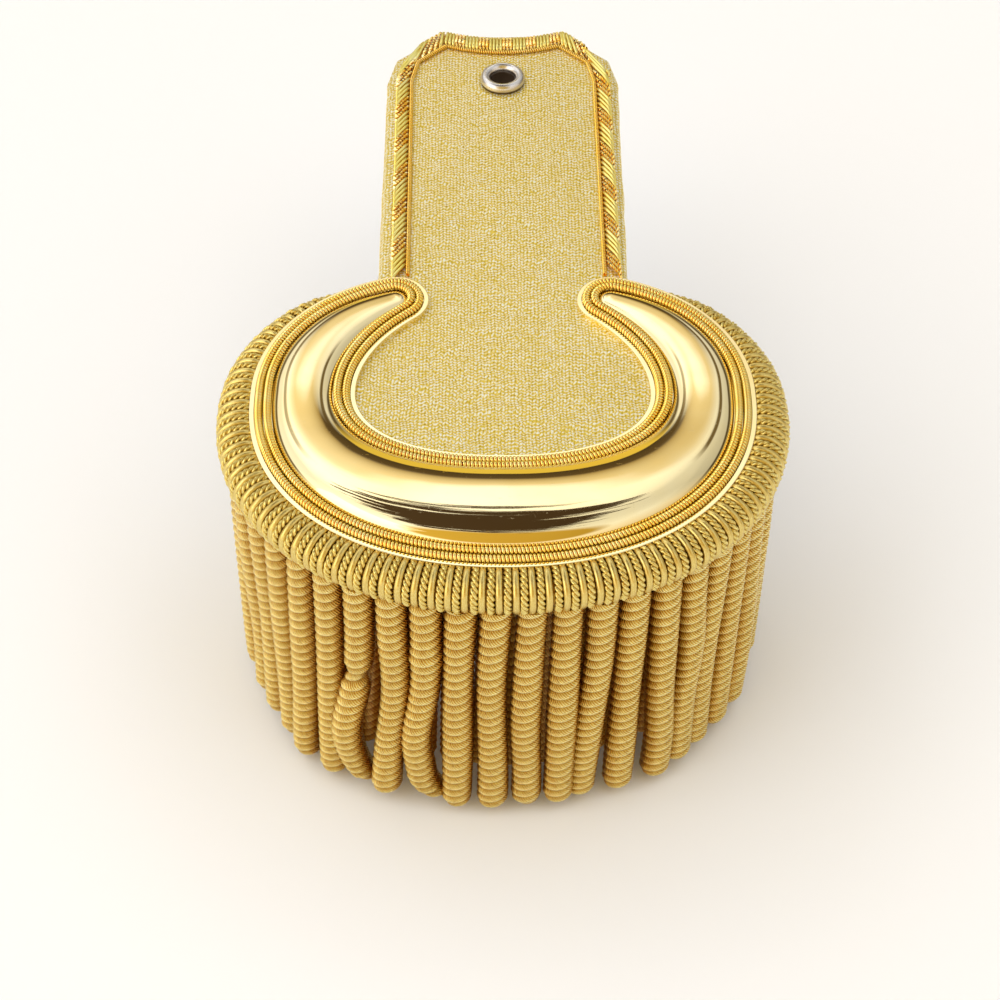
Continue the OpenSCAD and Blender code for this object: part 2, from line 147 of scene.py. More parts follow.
@dataclass(frozen=True)
class Plan:
    """Plan outline shared by the strap, the pad, the crescent and the heading, in millimetres."""

    spine_a: float = 43.4
    spine_y: float = 6.0
    spine_front: float = 35.35
    spine_back: float = 36.0
    front_power: float = 2.2
    back_power: float = 2.05
    tip_at: float = 146.5
    front_half: float = 15.75
    side_half: float = 10.9
    tip_half: float = 7.2
    front_ease: float = 1.4
    tip_ease: float = 2.2
    slope_step: float = 0.5
    half_w: float = 28.4
    reach: float = 138.6
    end_half: float = 14.7
    corner_w: float = 11.9
    corner_l: float = 11.3
    ease_l: float = 9.0
    end_dip: float = 1.3
    eyelet_y: float = 118.0
    lining_t: float = 1.2
    board_t: float = 3.3
    hollow_steps: int = 16
    flare_step: float = 12.0
    side_step: float = 2.4
    pad_step: float = 3.0

    @property
    def top_z(self) -> float:
        """Height of the cloth over the lining's underside."""
        return self.lining_t + self.board_t

    def spine(self, turn: float) -> np.ndarray:
        """Middle line of the crescent at an angle in degrees from the front."""
        angle = math.radians(turn)
        front = math.cos(angle) > 0
        power = 2 / (self.front_power if front else self.back_power)
        depth = self.spine_front if front else self.spine_back
        return np.array([
            self.spine_a * signed_power(math.sin(angle), power),
            self.spine_y - depth * signed_power(math.cos(angle), power),
        ])

    def half_width(self, turn: float) -> float:
        """Half width of the crescent at an angle in degrees from the front."""
        if abs(turn) < 90:
            swell = math.cos(math.radians(turn)) ** self.front_ease
            return self.side_half + (self.front_half - self.side_half) * swell
        share = (abs(turn) - 90) / (self.tip_at - 90)
        return self.side_half - (self.side_half - self.tip_half) * share ** self.tip_ease

    def to_edge(self, turn: float, side: Side) -> np.ndarray:
        """Unit vector from the middle line to the crescent's edge.

        Args:
            turn: The angle in degrees from the front.
            side: Which of the two edges it points to.

        Returns:
            The vector in plan.
        """
        ahead = self.spine(turn + self.slope_step)
        behind = self.spine(turn - self.slope_step)
        run = np.linalg.norm(ahead - behind)
        along = (ahead - behind) / run
        slope = (self.half_width(turn + self.slope_step) - self.half_width(turn - self.slope_step)) / run
        outward = np.array([along[1], -along[0]])
        return -slope * along + side.value * math.sqrt(1 - slope * slope) * outward

    def pad_edge(self, turn: float, past: float) -> np.ndarray:
        """Point at a distance past the pad's edge, at an angle in degrees from the front."""
        return self.spine(turn) + (self.half_width(turn) + past) * self.to_edge(turn, Side.OUTER)

    def strap_corners(self, side_in: float, corner_in: float, end_in: float) -> list[np.ndarray]:
        """Corners of a path along the strap's right half, from its end down.

        Args:
            side_in: How far the path lies in from the strap's side.
            corner_in: How far it lies in from the slanted corner.
            end_in: How far it lies in from the end's corners.

        Returns:
            The point under each bend of the outline, in plan.
        """
        outline = [
            np.array([0.0, self.reach]),
            np.array([self.end_half, self.reach]),
            np.array([self.end_half + self.corner_w, self.reach - self.corner_l]),
            np.array([self.half_w, self.reach - self.corner_l - self.ease_l]),
            np.array([self.half_w, 0.0]),
        ]
        insets = [end_in, corner_in, side_in, side_in]
        lines = []
        for first, second, inset in zip(outline, outline[1:], insets):
            along = unit(second - first)
            lines.append((first + inset * np.array([along[1], -along[0]]), along))
        corners = []
        for (start, along), (other, across) in zip(lines, lines[1:]):
            run = np.linalg.solve(np.column_stack([along, -across]), other - start)
            corners.append(start + run[0] * along)
        return corners

    def strap_end(self, side_in: float, corner_in: float, end_in: float, dip: float) -> list[np.ndarray]:
        """Right half of a path round the strap's end.

        Args:
            side_in: How far the path lies in from the strap's side.
            corner_in: How far it lies in from the slanted corner.
            end_in: How far it lies in from the end's corners.
            dip: How deep the end is hollowed.

        Returns:
            The points in plan: the hollow stretch from its middle, then the corners.
        """
        corners = self.strap_corners(side_in, corner_in, end_in)
        first = corners[0]
        steps = self.hollow_steps
        hollow = [np.array([first[0] * i / steps, first[1] - dip * (1 - (i / steps) ** 2)]) for i in range(steps)]
        return hollow + corners

    def outline(self, inset: float, meets_at: float) -> list[np.ndarray]:
        """Outline of the strap and pad at an inset, clockwise from the middle of the end.

        Args:
            inset: How far the path lies in from the cloth's edge.
            meets_at: The angle in degrees from the front at which the flare meets the pad.

        Returns:
            The closed path's points in plan.
        """
        foot = self.pad_edge(meets_at, 0)
        away = self.to_edge(meets_at, Side.OUTER)
        radius = (foot[0] - self.half_w) / (1 - away[0])
        centre = foot + radius * away
        last = math.degrees(math.atan2(-away[1], -away[0])) + 360
        end = self.strap_end(inset, inset, inset, self.end_dip)
        flare = [
            centre + (radius + inset) * np.array([math.cos(math.radians(a)), math.sin(math.radians(a))])
            for a in even_steps(180, last, self.flare_step)
        ]
        heights = even_steps(end[-1][1], flare[0][1], self.side_step)[1:-1]
        side = [np.array([self.half_w - inset, y]) for y in heights]
        pad = [self.pad_edge(a, -inset) for a in even_steps(meets_at - self.pad_step, 0, self.pad_step)]
        right = end + side + flare + pad
        return right + mirrored(right)[1:-1]


PLAN = Plan()


@dataclass(frozen=True)
class Route:
    """A path through space, measured along its length in millimetres."""

    points: np.ndarray
    closed: bool = False

    @property
    def knots(self) -> np.ndarray:
        """The points, with the first one repeated at the end of a closed path."""
        return np.vstack([self.points, self.points[:1]]) if self.closed else self.points

    @property
    def runs(self) -> np.ndarray:
        """Distance run along the path up to each knot."""
        return run_up(self.knots)

    @property
    def length(self) -> float:
        """Length of the path."""
        return float(self.runs[-1])

    def directions(self) -> np.ndarray:
        """Unit direction at each knot, taken from the knots on both sides of it."""
        knots = self.knots
        if self.closed:
            ahead = np.roll(knots[:-1], -1, axis=0) - np.roll(knots[:-1], 1, axis=0)
            ahead = np.vstack([ahead, ahead[:1]])
        else:
            ahead = np.gradient(knots, axis=0)
        return unit(ahead)

    def at(self, distance: np.ndarray) -> tuple[np.ndarray, np.ndarray]:
        """Finds places on the path.

        Args:
            distance: Distances run along the path.

        Returns:
            The points there and the unit directions there.
        """
        runs = self.runs
        knots = self.knots
        ways = self.directions()
        points = np.column_stack([np.interp(distance, runs, knots[:, k]) for k in range(3)])
        facing = np.column_stack([np.interp(distance, runs, ways[:, k]) for k in range(3)])
        return points, unit(facing)

    def rounded(self) -> "Route":
        """The same open path with its corners cut, so that they turn smoothly."""
        first = self.points[:-1]
        second = self.points[1:]
        pairs = np.stack([0.75 * first + 0.25 * second, 0.25 * first + 0.75 * second], axis=1)
        return Route(np.vstack([first[:1], pairs.reshape(-1, 3), second[-1:]]))


def raised(points: list[np.ndarray], z: float) -> np.ndarray:
    """Lifts plan points to a height."""
    return np.array([[p[0], p[1], z] for p in points])


class Bench:
    """Blender's modelling operators, each used on a clean selection."""

    @staticmethod
    def clear() -> None:
        """Leaves edit mode and deselects everything."""
        if bpy.context.object is not None and bpy.context.object.mode != "OBJECT":
            bpy.ops.object.mode_set(mode="OBJECT")
        bpy.ops.object.select_all(action="DESELECT")

    @staticmethod
    def pick(piece: Piece) -> None:
        """Selects one piece alone and makes it active."""
        Bench.clear()
        piece.select_set(True)
        bpy.context.view_layer.objects.active = piece

    @staticmethod
    @contextmanager
    def editing(piece: Piece, action: str = "SELECT") -> Iterator[None]:
        """Holds the piece open in edit mode, with all of it selected or deselected at first.

        Args:
            piece: The piece to edit.
            action: SELECT or DESELECT.

        Yields:
            Nothing, while edit mode lasts.
        """
        Bench.pick(piece)
        bpy.ops.object.mode_set(mode="EDIT")
        bpy.ops.mesh.select_all(action=action)
        yield
        bpy.ops.object.mode_set(mode="OBJECT")

    @staticmethod
    def named(name: str) -> Piece:
        """Names the piece that was just added, with its place moved into its mesh."""
        piece = bpy.context.object
        piece.name = name
        piece.data.name = name
        bpy.ops.object.transform_apply(location=True, rotation=True, scale=True)
        return piece

    @staticmethod
    def coords(piece: Piece) -> np.ndarray:
        """The piece's vertices in millimetres, one row each."""
        values = np.empty(len(piece.data.vertices) * 3)
        piece.data.vertices.foreach_get("co", values)
        return values.reshape(-1, 3) / MM

    @staticmethod
    def move(piece: Piece, coords: np.ndarray) -> None:
        """Moves the piece's vertices to places in millimetres."""
        piece.data.vertices.foreach_set("co", (coords * MM).ravel())
        piece.data.update()

    @staticmethod
    def merge(piece: Piece, recalculate: bool = True) -> None:
        """Joins vertices that lie on each other and turns the faces outwards.

        Args:
            piece: The mesh to clean.
            recalculate: Whether the faces are turned outwards too.
        """
        with Bench.editing(piece):
            bpy.ops.mesh.remove_doubles(threshold=WELD * MM)
            bpy.ops.mesh.dissolve_degenerate(threshold=WELD * MM)
            if recalculate:
                bpy.ops.mesh.select_all(action="SELECT")
                bpy.ops.mesh.normals_make_consistent(inside=False)

    @staticmethod
    def cap(piece: Piece) -> None:
        """Closes every open end of the piece with a face."""
        with Bench.editing(piece, "DESELECT"):
            bpy.ops.mesh.select_non_manifold(extend=False, use_wire=False, use_boundary=True,
                                             use_multi_face=False, use_non_contiguous=False, use_verts=False)
            bpy.ops.mesh.fill_holes(sides=0)

    @staticmethod
    def close(piece: Piece) -> None:
        """Joins a rolled piece's seams, caps its open ends and turns its faces outwards."""
        Bench.merge(piece, recalculate=False)
        Bench.cap(piece)
        Bench.merge(piece)

    @staticmethod
    def spokes(piece: Piece, count: int) -> np.ndarray:
        """Number of the spoke that each vertex lies on, anticlockwise from +X."""
        coords = Bench.coords(piece)
        return np.rint(np.degrees(np.arctan2(coords[:, 1], coords[:, 0])) * count / 360).astype(int) % count

    @staticmethod
    def apply(piece: Piece, kind: str, **settings: object) -> None:
        """Adds a modifier with its settings and applies it."""
        Bench.pick(piece)
        modifier = piece.modifiers.new(kind.title(), kind)
        for key, value in settings.items():
            setattr(modifier, key, value)
        bpy.ops.object.modifier_apply(modifier=modifier.name)

    @staticmethod
    def smooth(piece: Piece, limit: float | None = None) -> None:
        """Shades the piece smooth, everywhere or only below an angle in degrees."""
        Bench.pick(piece)
        if limit is None:
            bpy.ops.object.shade_smooth()
        else:
            bpy.ops.object.shade_smooth_by_angle(angle=math.radians(limit))

    @staticmethod
    def rolled(name: str, rows: int, columns: int, place: Callable[[int, int], tuple]) -> Piece:
        """Rolls a flat grid into a shape, so that its own map follows the surface.

        Args:
            name: The piece's name.
            rows: How many rows of faces the grid has.
            columns: How many columns of faces it has.
            place: Gives the place in millimetres of the grid point at a row and column.

        Returns:
            The rolled piece, with seams not joined yet.
        """
        Bench.clear()
        bpy.ops.mesh.primitive_grid_add(x_subdivisions=columns, y_subdivisions=rows, size=1, calc_uvs=True)
        piece = Bench.named(name)
        flat = Bench.coords(piece) * MM
        column = np.rint((flat[:, 0] + 0.5) * columns).astype(int)
        row = np.rint((flat[:, 1] + 0.5) * rows).astype(int)
        Bench.move(piece, np.array([place(r, c) for r, c in zip(row, column)]))
        return piece

    @staticmethod
    def scale_map(piece: Piece, around: float, along: float) -> None:
        """Scales the piece's own map, so that it counts in the piece's own units."""
        layer = piece.data.uv_layers.active.data
        values = np.empty(len(layer) * 2)
        layer.foreach_get("uv", values)
        layer.foreach_set("uv", (values.reshape(-1, 2) * [around, along]).ravel())

    @staticmethod
    def mark(piece: Piece, name: str, values: np.ndarray) -> None:
        """Writes a value for each vertex that the piece's material can read."""
        piece.data.attributes.new(name, "FLOAT", "POINT").data.foreach_set("value", values)

    @staticmethod
    def copied(piece: Piece, name: str) -> Piece:
        """Copies a piece with a mesh of its own."""
        Bench.pick(piece)
        bpy.ops.object.duplicate(linked=False)
        twin = bpy.context.object
        twin.name = name
        return twin

    @staticmethod
    def joined(pieces: list[Piece], name: str) -> Piece:
        """Joins pieces into the first of them."""
        Bench.clear()
        for piece in pieces:
            piece.select_set(True)
        bpy.context.view_layer.objects.active = pieces[0]
        if len(pieces) > 1:
            bpy.ops.object.join()
        whole = bpy.context.object
        whole.name = name
        whole.data.name = name
        return whole

    @staticmethod
    def laid(piece: Piece, route: Route, shift: float = 0.0) -> None:
        """Lays a straight piece, made along +X, along a route with its +Z kept upwards.

        Args:
            piece: The piece to bend.
            route: The path that its X axis comes to lie on. A closed one is run round again past its end.
            shift: How far along the path its start goes.
        """
        coords = Bench.coords(piece)
        run = coords[:, 0] + shift
        points, ways = route.at(run % route.length if route.closed else run)
        left = unit(np.cross(UP, ways))
        Bench.move(piece, points + coords[:, 1:2] * left + coords[:, 2:3] * np.cross(ways, left))

    @staticmethod
    def dress(piece: Piece, finish: "Finish", slot: str, node: str) -> None:
        """Gives a finished piece its material and body, and hides the CAD node that it stands for."""
        piece.data.materials.clear()
        piece.data.materials.append(finish.material())
        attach(piece, "root")
        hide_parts(node)
        LOG.info("%s: %d faces", piece.name, len(piece.data.polygons))


class Recipe:
    """Short words for writing a material's nodes."""

    def __init__(self, name: str, world: bool = False) -> None:
        """Starts a material with one principled surface, or a world with one background."""
        if world:
            owner = bpy.data.worlds.new(name)
            bpy.context.scene.world = owner
        else:
            owner = bpy.data.materials.new(name)
        owner.use_nodes = True
        self.material = owner
        self.tree = owner.node_tree
        self.surface = self.tree.nodes["Background" if world else "Principled BSDF"]

    def node(self, kind: str, inputs: dict | None = None, **settings: object) -> bpy.types.Node:
        """Adds a node.

        Args:
            kind: The node's type, without the ShaderNode in front.
            inputs: Values or sockets for its inputs, by name or number.
            **settings: Values for the node's own settings.

        Returns:
            The new node.
        """
        made = self.tree.nodes.new(f"ShaderNode{kind}")
        for key, value in settings.items():
            setattr(made, key, value)
        for key, value in (inputs or {}).items():
            self.feed(made.inputs[key], value)
        return made

    def feed(self, socket: Socket, value: object) -> None:
        """Links a socket into an input, or sets the input to a value."""
        if isinstance(value, Socket):
            self.tree.links.new(value, socket)
        else:
            socket.default_value = value

    def position(self) -> Socket:
        """The surface point in metres, in the piece's own frame."""
        return self.node("TexCoord").outputs["Object"]

    def own_map(self) -> Socket:
        """The piece's own map, which follows its surface."""
        return self.node("TexCoord").outputs["UV"]

    def stretched(self, coords: Socket, scale: tuple, turn: float = 0.0) -> Socket:
        """Scales coordinates, and turns them about Z by an angle in degrees."""
        mapping = self.node("Mapping", {"Vector": coords, "Scale": scale, "Rotation": (0, 0, math.radians(turn))})
        return mapping.outputs["Vector"]

    def noise(self, coords: Socket, scale: float, detail: float = 2.0, rough: float = 0.5) -> Socket:
        """Cloudy value from zero to one, with a number of clouds per unit of the coordinates."""
        made = self.node("TexNoise", {"Vector": coords, "Scale": scale, "Detail": detail, "Roughness": rough})
        return made.outputs["Fac"]

    def cells(self, coords: Socket, scale: float) -> Socket:
        """Random colour for each small cell of the coordinates."""
        return self.node("TexVoronoi", {"Vector": coords, "Scale": scale}).outputs["Color"]

    def chance(self, number: Socket) -> Socket:
        """Random value from zero to one for each number."""
        return self.node("TexWhiteNoise", {"W": number}, noise_dimensions="1D").outputs["Value"]

    def carried(self, name: str) -> Socket:
        """Value that the piece's own vertices carry under a name."""
        return self.node("Attribute", attribute_name=name).outputs["Fac"]

    def towards(self, way: Socket, direction: tuple) -> Socket:
        """How nearly a way points along a direction, one where it does."""
        return self.node("VectorMath", {0: way, 1: direction}, operation="DOT_PRODUCT").outputs["Value"]

    def math(self, operation: str, first: object, second: object = 0.5, third: object = 0.5) -> Socket:
        """Result of an arithmetic step."""
        made = self.node("Math", operation=operation)
        for socket, value in zip(made.inputs, (first, second, third)):
            self.feed(socket, value)
        return made.outputs["Value"]

    def part(self, vector: Socket, axis: str) -> Socket:
        """One part, X, Y or Z, of a vector."""
        return self.node("SeparateXYZ", {"Vector": vector}).outputs[axis]

    def ramp(self, factor: Socket, stops: Sequence[tuple]) -> Socket:
        """Colour or shade that changes with a value.

        Args:
            factor: The value.
            stops: Pairs of a place from zero to one and a colour or a grey shade, in order.

        Returns:
            The colour socket.
        """
        made = self.node("ValToRGB", {"Fac": factor})
        band = made.color_ramp
        while len(band.elements) < len(stops):
            band.elements.new(0.5)
        for element, (place, colour) in zip(band.elements, stops):
            element.position = place
            shade = colour if isinstance(colour, tuple) else (colour,) * 3
            element.color = (*shade, 1.0)
        return made.outputs["Color"]

    def fade(self, factor: Socket, first: float, last: float) -> Socket:
        """Shade that rises from black to white between two values."""
        return self.ramp(factor, [(first, 0.0), (last, 1.0)])

    def blend(self, factor: object, first: object, second: object, mode: str = "MIX") -> Socket:
        """Mixes two colours by a factor."""
        made = self.node("Mix", data_type="RGBA", blend_type=mode)
        for key, value in (("Factor", factor), ("A", first), ("B", second)):
            sockets = [s for s in made.inputs if s.name == key and s.enabled]
            self.feed(sockets[0], (*value, 1.0) if isinstance(value, tuple) else value)
        return next(s for s in made.outputs if s.enabled)

    def tinted(self, colour: Socket, tint: Socket) -> Socket:
        """Darkens a colour by another."""
        return self.blend(1.0, colour, tint, "MULTIPLY")

    def bump(self, height: Socket, depth: float, strength: float, under: Socket | None = None) -> Socket:
        """Surface relief.

        Args:
            height: The relief's shape, from zero to one.
            depth: Its depth in millimetres.
            strength: How much of it shows.
            under: A relief that it lies on.

        Returns:
            The normal socket.
        """
        inputs = {"Height": height, "Distance": depth * MM, "Strength": strength}
        if under is not None:
            inputs["Normal"] = under
        return self.node("Bump", inputs).outputs["Normal"]

    def finish(self, colour: object, rough: object, metal: float, normal: Socket | None = None,
               **more: object) -> bpy.types.Material:
        """Sets the surface and returns the material.

        Args:
            colour: Base colour, as a socket or a tuple.
            rough: Roughness, as a socket or a number.
            metal: How metallic it is.
            normal: The relief, if it has one.
            **more: Other inputs of the surface, with spaces written as low lines.

        Returns:
            The finished material.
        """
        self.feed(self.surface.inputs["Base Color"], (*colour, 1.0) if isinstance(colour, tuple) else colour)
        self.feed(self.surface.inputs["Roughness"], rough)
        self.feed(self.surface.inputs["Metallic"], metal)
        if normal is not None:
            self.feed(self.surface.inputs["Normal"], normal)
        for key, value in more.items():
            self.feed(self.surface.inputs[key.replace("_", " ")], value)
        return self.material


@dataclass(frozen=True)
class Finish:
    """A surface finish. Each kind writes its own recipe."""

    name: str

    def material(self) -> bpy.types.Material:
        """The finish's material, made once."""
        return made_once(self)

    def write(self) -> bpy.types.Material:
        """Writes the recipe."""
        raise NotImplementedError


@lru_cache(maxsize=None)
def made_once(finish: Finish) -> bpy.types.Material:
    """Makes the material of a finish the first time that it is asked for."""
    return finish.write()


@dataclass(frozen=True)
class PolishedGilt(Finish):
    """Polished gilt sheet with soft dents and fine scratches."""

    colour: tuple = (0.95, 0.81, 0.47)
    warm: tuple = (0.95, 0.77, 0.38)
    rough: float = 0.05
    cloud_scale: float = 60.0
    scratches: tuple = (((1.0, 9.0, 2.0), 24, 420.0, 0.73), ((8.0, 1.0, 2.0), -18, 380.0, 0.74))
    scratch_rough: float = 0.08
    scratch_depth: float = 0.008
    dent_scale: float = 85.0
    dent_depth: float = 0.14

    def scratched(self, r: Recipe, stretch: tuple, turn: float, scale: float, first: float) -> Socket:
        """Fine scratches that run one way.

        Args:
            r: The recipe.
            stretch: How the pattern is drawn out along each axis.
            turn: The angle in degrees that they lie at.
            scale: How fine they are.
            first: The value of the pattern from which a scratch shows.

        Returns:
            One on a scratch and zero beside it.
        """
        lines = r.noise(r.stretched(r.position(), stretch, turn), scale, 2.0, 0.6)
        return r.fade(lines, first, first + 0.01)

    def write(self) -> bpy.types.Material:
        """Writes the recipe."""
        r = Recipe(self.name)
        place = r.position()
        clouds = r.noise(place, self.cloud_scale, 3.0)
        colour = r.blend(r.fade(clouds, 0.4, 0.75), self.colour, self.warm)
        marks = r.math("ADD", *(self.scratched(r, *kind) for kind in self.scratches))
        rough = r.math("MULTIPLY_ADD", marks, self.scratch_rough, self.rough)
        dents = r.bump(r.noise(place, self.dent_scale, 1.0), self.dent_depth, 0.4)
        return r.finish(colour, rough, 1.0, r.bump(marks, self.scratch_depth, 0.3, dents))


@dataclass(frozen=True)
class GiltWire(Finish):
    """Bright gilt wire, with painted shade and a painted orange reflection between its turns.

    The value crown, carried by the pieces, runs from zero low beside a turn or strand to one on top of it,
    and sets where that painted shade falls.
    """

    colour: tuple
    pale: tuple
    gap_shade: tuple = (0.98, 0.42, 0.04)
    gap_from: float = 0.2
    gap_width: float = 0.6
    rough: float = 0.2
    rough_spread: float = 0.12
    patch_scale: float = 160.0
    grain_scale: float = 4000.0
    grain_depth: float = 0.008

    def write(self) -> bpy.types.Material:
        """Writes the recipe."""
        r = Recipe(self.name)
        place = r.position()
        patches = r.noise(place, self.patch_scale, 3.0)
        colour = r.blend(r.fade(patches, 0.35, 0.7), self.colour, self.pale)
        # Painted shade and painted orange reflection between the turns and under the strands, set by the crown value.
        gap_shading = r.ramp(r.carried("crown"), [(self.gap_from, self.gap_shade), (self.gap_from + self.gap_width, 1.0)])
        grain = r.noise(place, self.grain_scale, 2.0)
        rough = r.math("MULTIPLY_ADD", grain, self.rough_spread, self.rough - self.rough_spread / 2)
        return r.finish(r.tinted(colour, gap_shading), rough, 1.0, r.bump(grain, self.grain_depth, 0.1))


@dataclass(frozen=True)
class ClothOfGold(Finish):
    """Glittering metal-thread cloth, knitted in fine ribs of slanting gold and silvery loops."""

    thread: tuple = (0.83, 0.63, 0.08)
    bright: tuple = (0.96, 0.95, 0.82)
    shade: tuple = (0.52, 0.35, 0.03)
    rib: float = 1.5
    loop: float = 0.95
    lean: float = 0.9
    loop_height: float = 0.3
    rib_height: float = 0.5
    ground: float = 0.2
    drift: float = 3.0
    drift_across: float = 0.4
    drift_scale: float = 260.0
    fuzz_scale: float = 2600.0
    glitter_scale: float = 2900.0
    glitter: float = 0.38
    weave_depth: float = 0.10
    sparkle_depth: float = 0.05
    metal: float = 0.75

    def write(self) -> bpy.types.Material:
        """Writes the recipe."""
        r = Recipe(self.name)
        place = r.position()
        wander = r.math("SUBTRACT", r.noise(place, self.drift_scale, 3.0), 0.5)
        drift = r.math("MULTIPLY", wander, self.drift * MM)
        along = r.math("ADD", r.part(place, "Y"), drift)
        across = r.math("ADD", r.part(place, "X"), r.math("MULTIPLY", drift, self.drift_across))
        rib = r.math("MULTIPLY", across, FULL_TURN / (self.rib * MM))
        column = r.math("FLOOR", r.math("MULTIPLY_ADD", across, 2 / (self.rib * MM), 0.5))
        slant = r.math("MULTIPLY_ADD", r.math("ARCSINE", r.math("SINE", rib)), self.lean,
                       r.math("MULTIPLY", r.chance(column), FULL_TURN))
        loops = r.math("SINE", r.math("MULTIPLY_ADD", along, FULL_TURN / (self.loop * MM), slant))
        # Darker between the rib columns: painted shade in the creases, on top of the bump that the same knit drives.
        ridge = r.math("ABSOLUTE", r.math("COSINE", rib))
        ribs = r.math("MULTIPLY_ADD", ridge, self.rib_height, self.ground)
        knit = r.math("MULTIPLY_ADD", loops, self.loop_height, ribs)
        fuzz = r.noise(place, self.fuzz_scale, 2.0, 0.6)
        glitter = r.cells(place, self.glitter_scale)
        tone = r.math("MULTIPLY_ADD", r.part(glitter, "X"), self.glitter, r.math("MULTIPLY", knit, 1 - self.glitter))
        colour = r.ramp(tone, [(0.12, self.shade), (0.34, self.thread), (0.48, self.thread), (0.74, self.bright)])
        rough = r.ramp(r.part(glitter, "Y"), [(0.0, 0.30), (1.0, 0.6)])
        weave = r.bump(r.math("MULTIPLY_ADD", fuzz, 0.8, knit), self.weave_depth, 0.8)
        sparkle = r.bump(r.part(glitter, "Z"), self.sparkle_depth, 0.7, weave)
        return r.finish(colour, rough, self.metal, sparkle)


@dataclass(frozen=True)
class WoundCord(Finish):
    """Cord wound or twisted from fine gilt thread.

    Its own map runs once around the cord in U, and counts millimetres or lobes along it in V. Lobed cord carries
    the value facing, which says how far the surface faces out of its row; it is painted in shade where it faces its
    neighbours, and painted in shade in the groove under each lobe's lip. Other cord carries the value crown, from
    zero in its grooves to one on top, and is painted in shade towards its grooves.
    """

    colour: tuple
    # bright is the painted highlight on the threads' crests, and shade the painted shade between threads.
    bright: tuple
    shade: tuple
    around: float
    along: float
    depth: float = 0.03
    contrast: float = 0.5
    rough: float = 0.34
    uneven: float = 0.3
    lobed: bool = False
    metal: float = 0.9
    wander_scale: float = 700.0
    fleck_scale: float = 3000.0
    # Painted shade: along each lobe of a bullion, on its sides that face its neighbours, and towards the grooves of
    # other cord.
    lobe_shade: tuple = ((0.0, (0.34, 0.18, 0.05)), (0.12, (0.48, 0.32, 0.12)), (0.28, (0.68, 0.53, 0.28)),
                         (0.42, (0.88, 0.81, 0.62)), (0.50, 1.0), (0.68, 1.0), (0.78, (0.40, 0.22, 0.07)),
                         (1.0, (0.28, 0.14, 0.04)))
    facing_shade: tuple = ((0.50, (0.62, 0.38, 0.15)), (0.72, (0.84, 0.70, 0.48)), (0.90, 1.0))
    crown_shade: tuple = ((0.0, (0.46, 0.30, 0.08)), (0.3, (0.88, 0.78, 0.54)), (0.6, 1.0))

    def write(self) -> bpy.types.Material:
        """Writes the recipe."""
        r = Recipe(self.name)
        place = r.position()
        own = r.own_map()
        wander = r.math("MULTIPLY", r.noise(place, self.wander_scale, 2.0), 0.5)
        across = r.math("MULTIPLY", r.part(own, "X"), self.around)
        count = r.math("ADD", r.math("MULTIPLY_ADD", r.part(own, "Y"), self.along, across), wander)
        wave = r.math("SINE", r.math("MULTIPLY", count, FULL_TURN))
        thread = r.math("MULTIPLY_ADD", wave, 0.5, 0.5)
        fleck = r.noise(place, self.fleck_scale, 2.0, 0.6)
        single = r.chance(r.math("FLOOR", count))
        jitter = r.math("MULTIPLY_ADD", single, self.uneven, r.math("MULTIPLY", fleck, 0.5))
        tone = r.math("MULTIPLY_ADD", thread, self.contrast, jitter)
        # Thread stripes: painted shade between threads and a painted highlight on their crests, with random tone per
        # thread and fleck.
        colour = r.ramp(tone, [(0.30, self.shade), (0.68, self.colour), (1.0, self.bright)])
        if self.lobed:
            # Painted shade on each lobe: dark in the groove under the lip above and on the lip's underside, full
            # colour on the lip.
            colour = r.tinted(colour, r.ramp(r.math("FRACT", r.part(own, "Y")), self.lobe_shade))
            # Painted shade on the sides that face the neighbouring bullions.
            facing = r.math("MULTIPLY_ADD", r.carried("facing"), 0.5, 0.5)
            colour = r.tinted(colour, r.ramp(facing, self.facing_shade))
        else:
            # Painted shade, darker towards the cord's grooves and underside.
            colour = r.tinted(colour, r.ramp(r.carried("crown"), self.crown_shade))
        rough = r.math("MULTIPLY_ADD", fleck, 0.2, self.rough - 0.1)
        relief = r.math("MULTIPLY_ADD", fleck, 0.25, thread)
        return r.finish(colour, rough, self.metal, r.bump(relief, self.depth, 0.9))


@dataclass(frozen=True)
class Nickel(Finish):
    """Polished nickel, a little worn, with painted shade down its bore."""

    colour: tuple = (0.80, 0.78, 0.77)
    worn: tuple = (0.66, 0.62, 0.58)
    inside: tuple = (0.12, 0.08, 0.05)
    wear_scale: float = 700.0
    wear_depth: float = 0.02

    def write(self) -> bpy.types.Material:
        """Writes the recipe."""
        r = Recipe(self.name)
        place = r.position()
        wear = r.noise(r.stretched(place, (1.0, 1.0, 6.0)), self.wear_scale, 3.0, 0.6)
        rough = r.math("MULTIPLY_ADD", wear, 0.16, 0.20)
        colour = r.blend(wear, self.colour, self.worn)
        # Painted shade inside the eyelet: below about the cloth's top, the barrel and the lip under the board are
        # dark and rougher.
        depth = r.math("MULTIPLY", r.part(place, "Z"), 1 / (2 * PLAN.top_z * MM))
        inside = r.ramp(depth, [(0.54, 1.0), (0.60, 0.0)])
        colour = r.blend(inside, colour, self.inside)
        rough = r.math("MULTIPLY_ADD", inside, 0.4, rough)
        return r.finish(colour, rough, 1.0, r.bump(wear, self.wear_depth, 0.2))


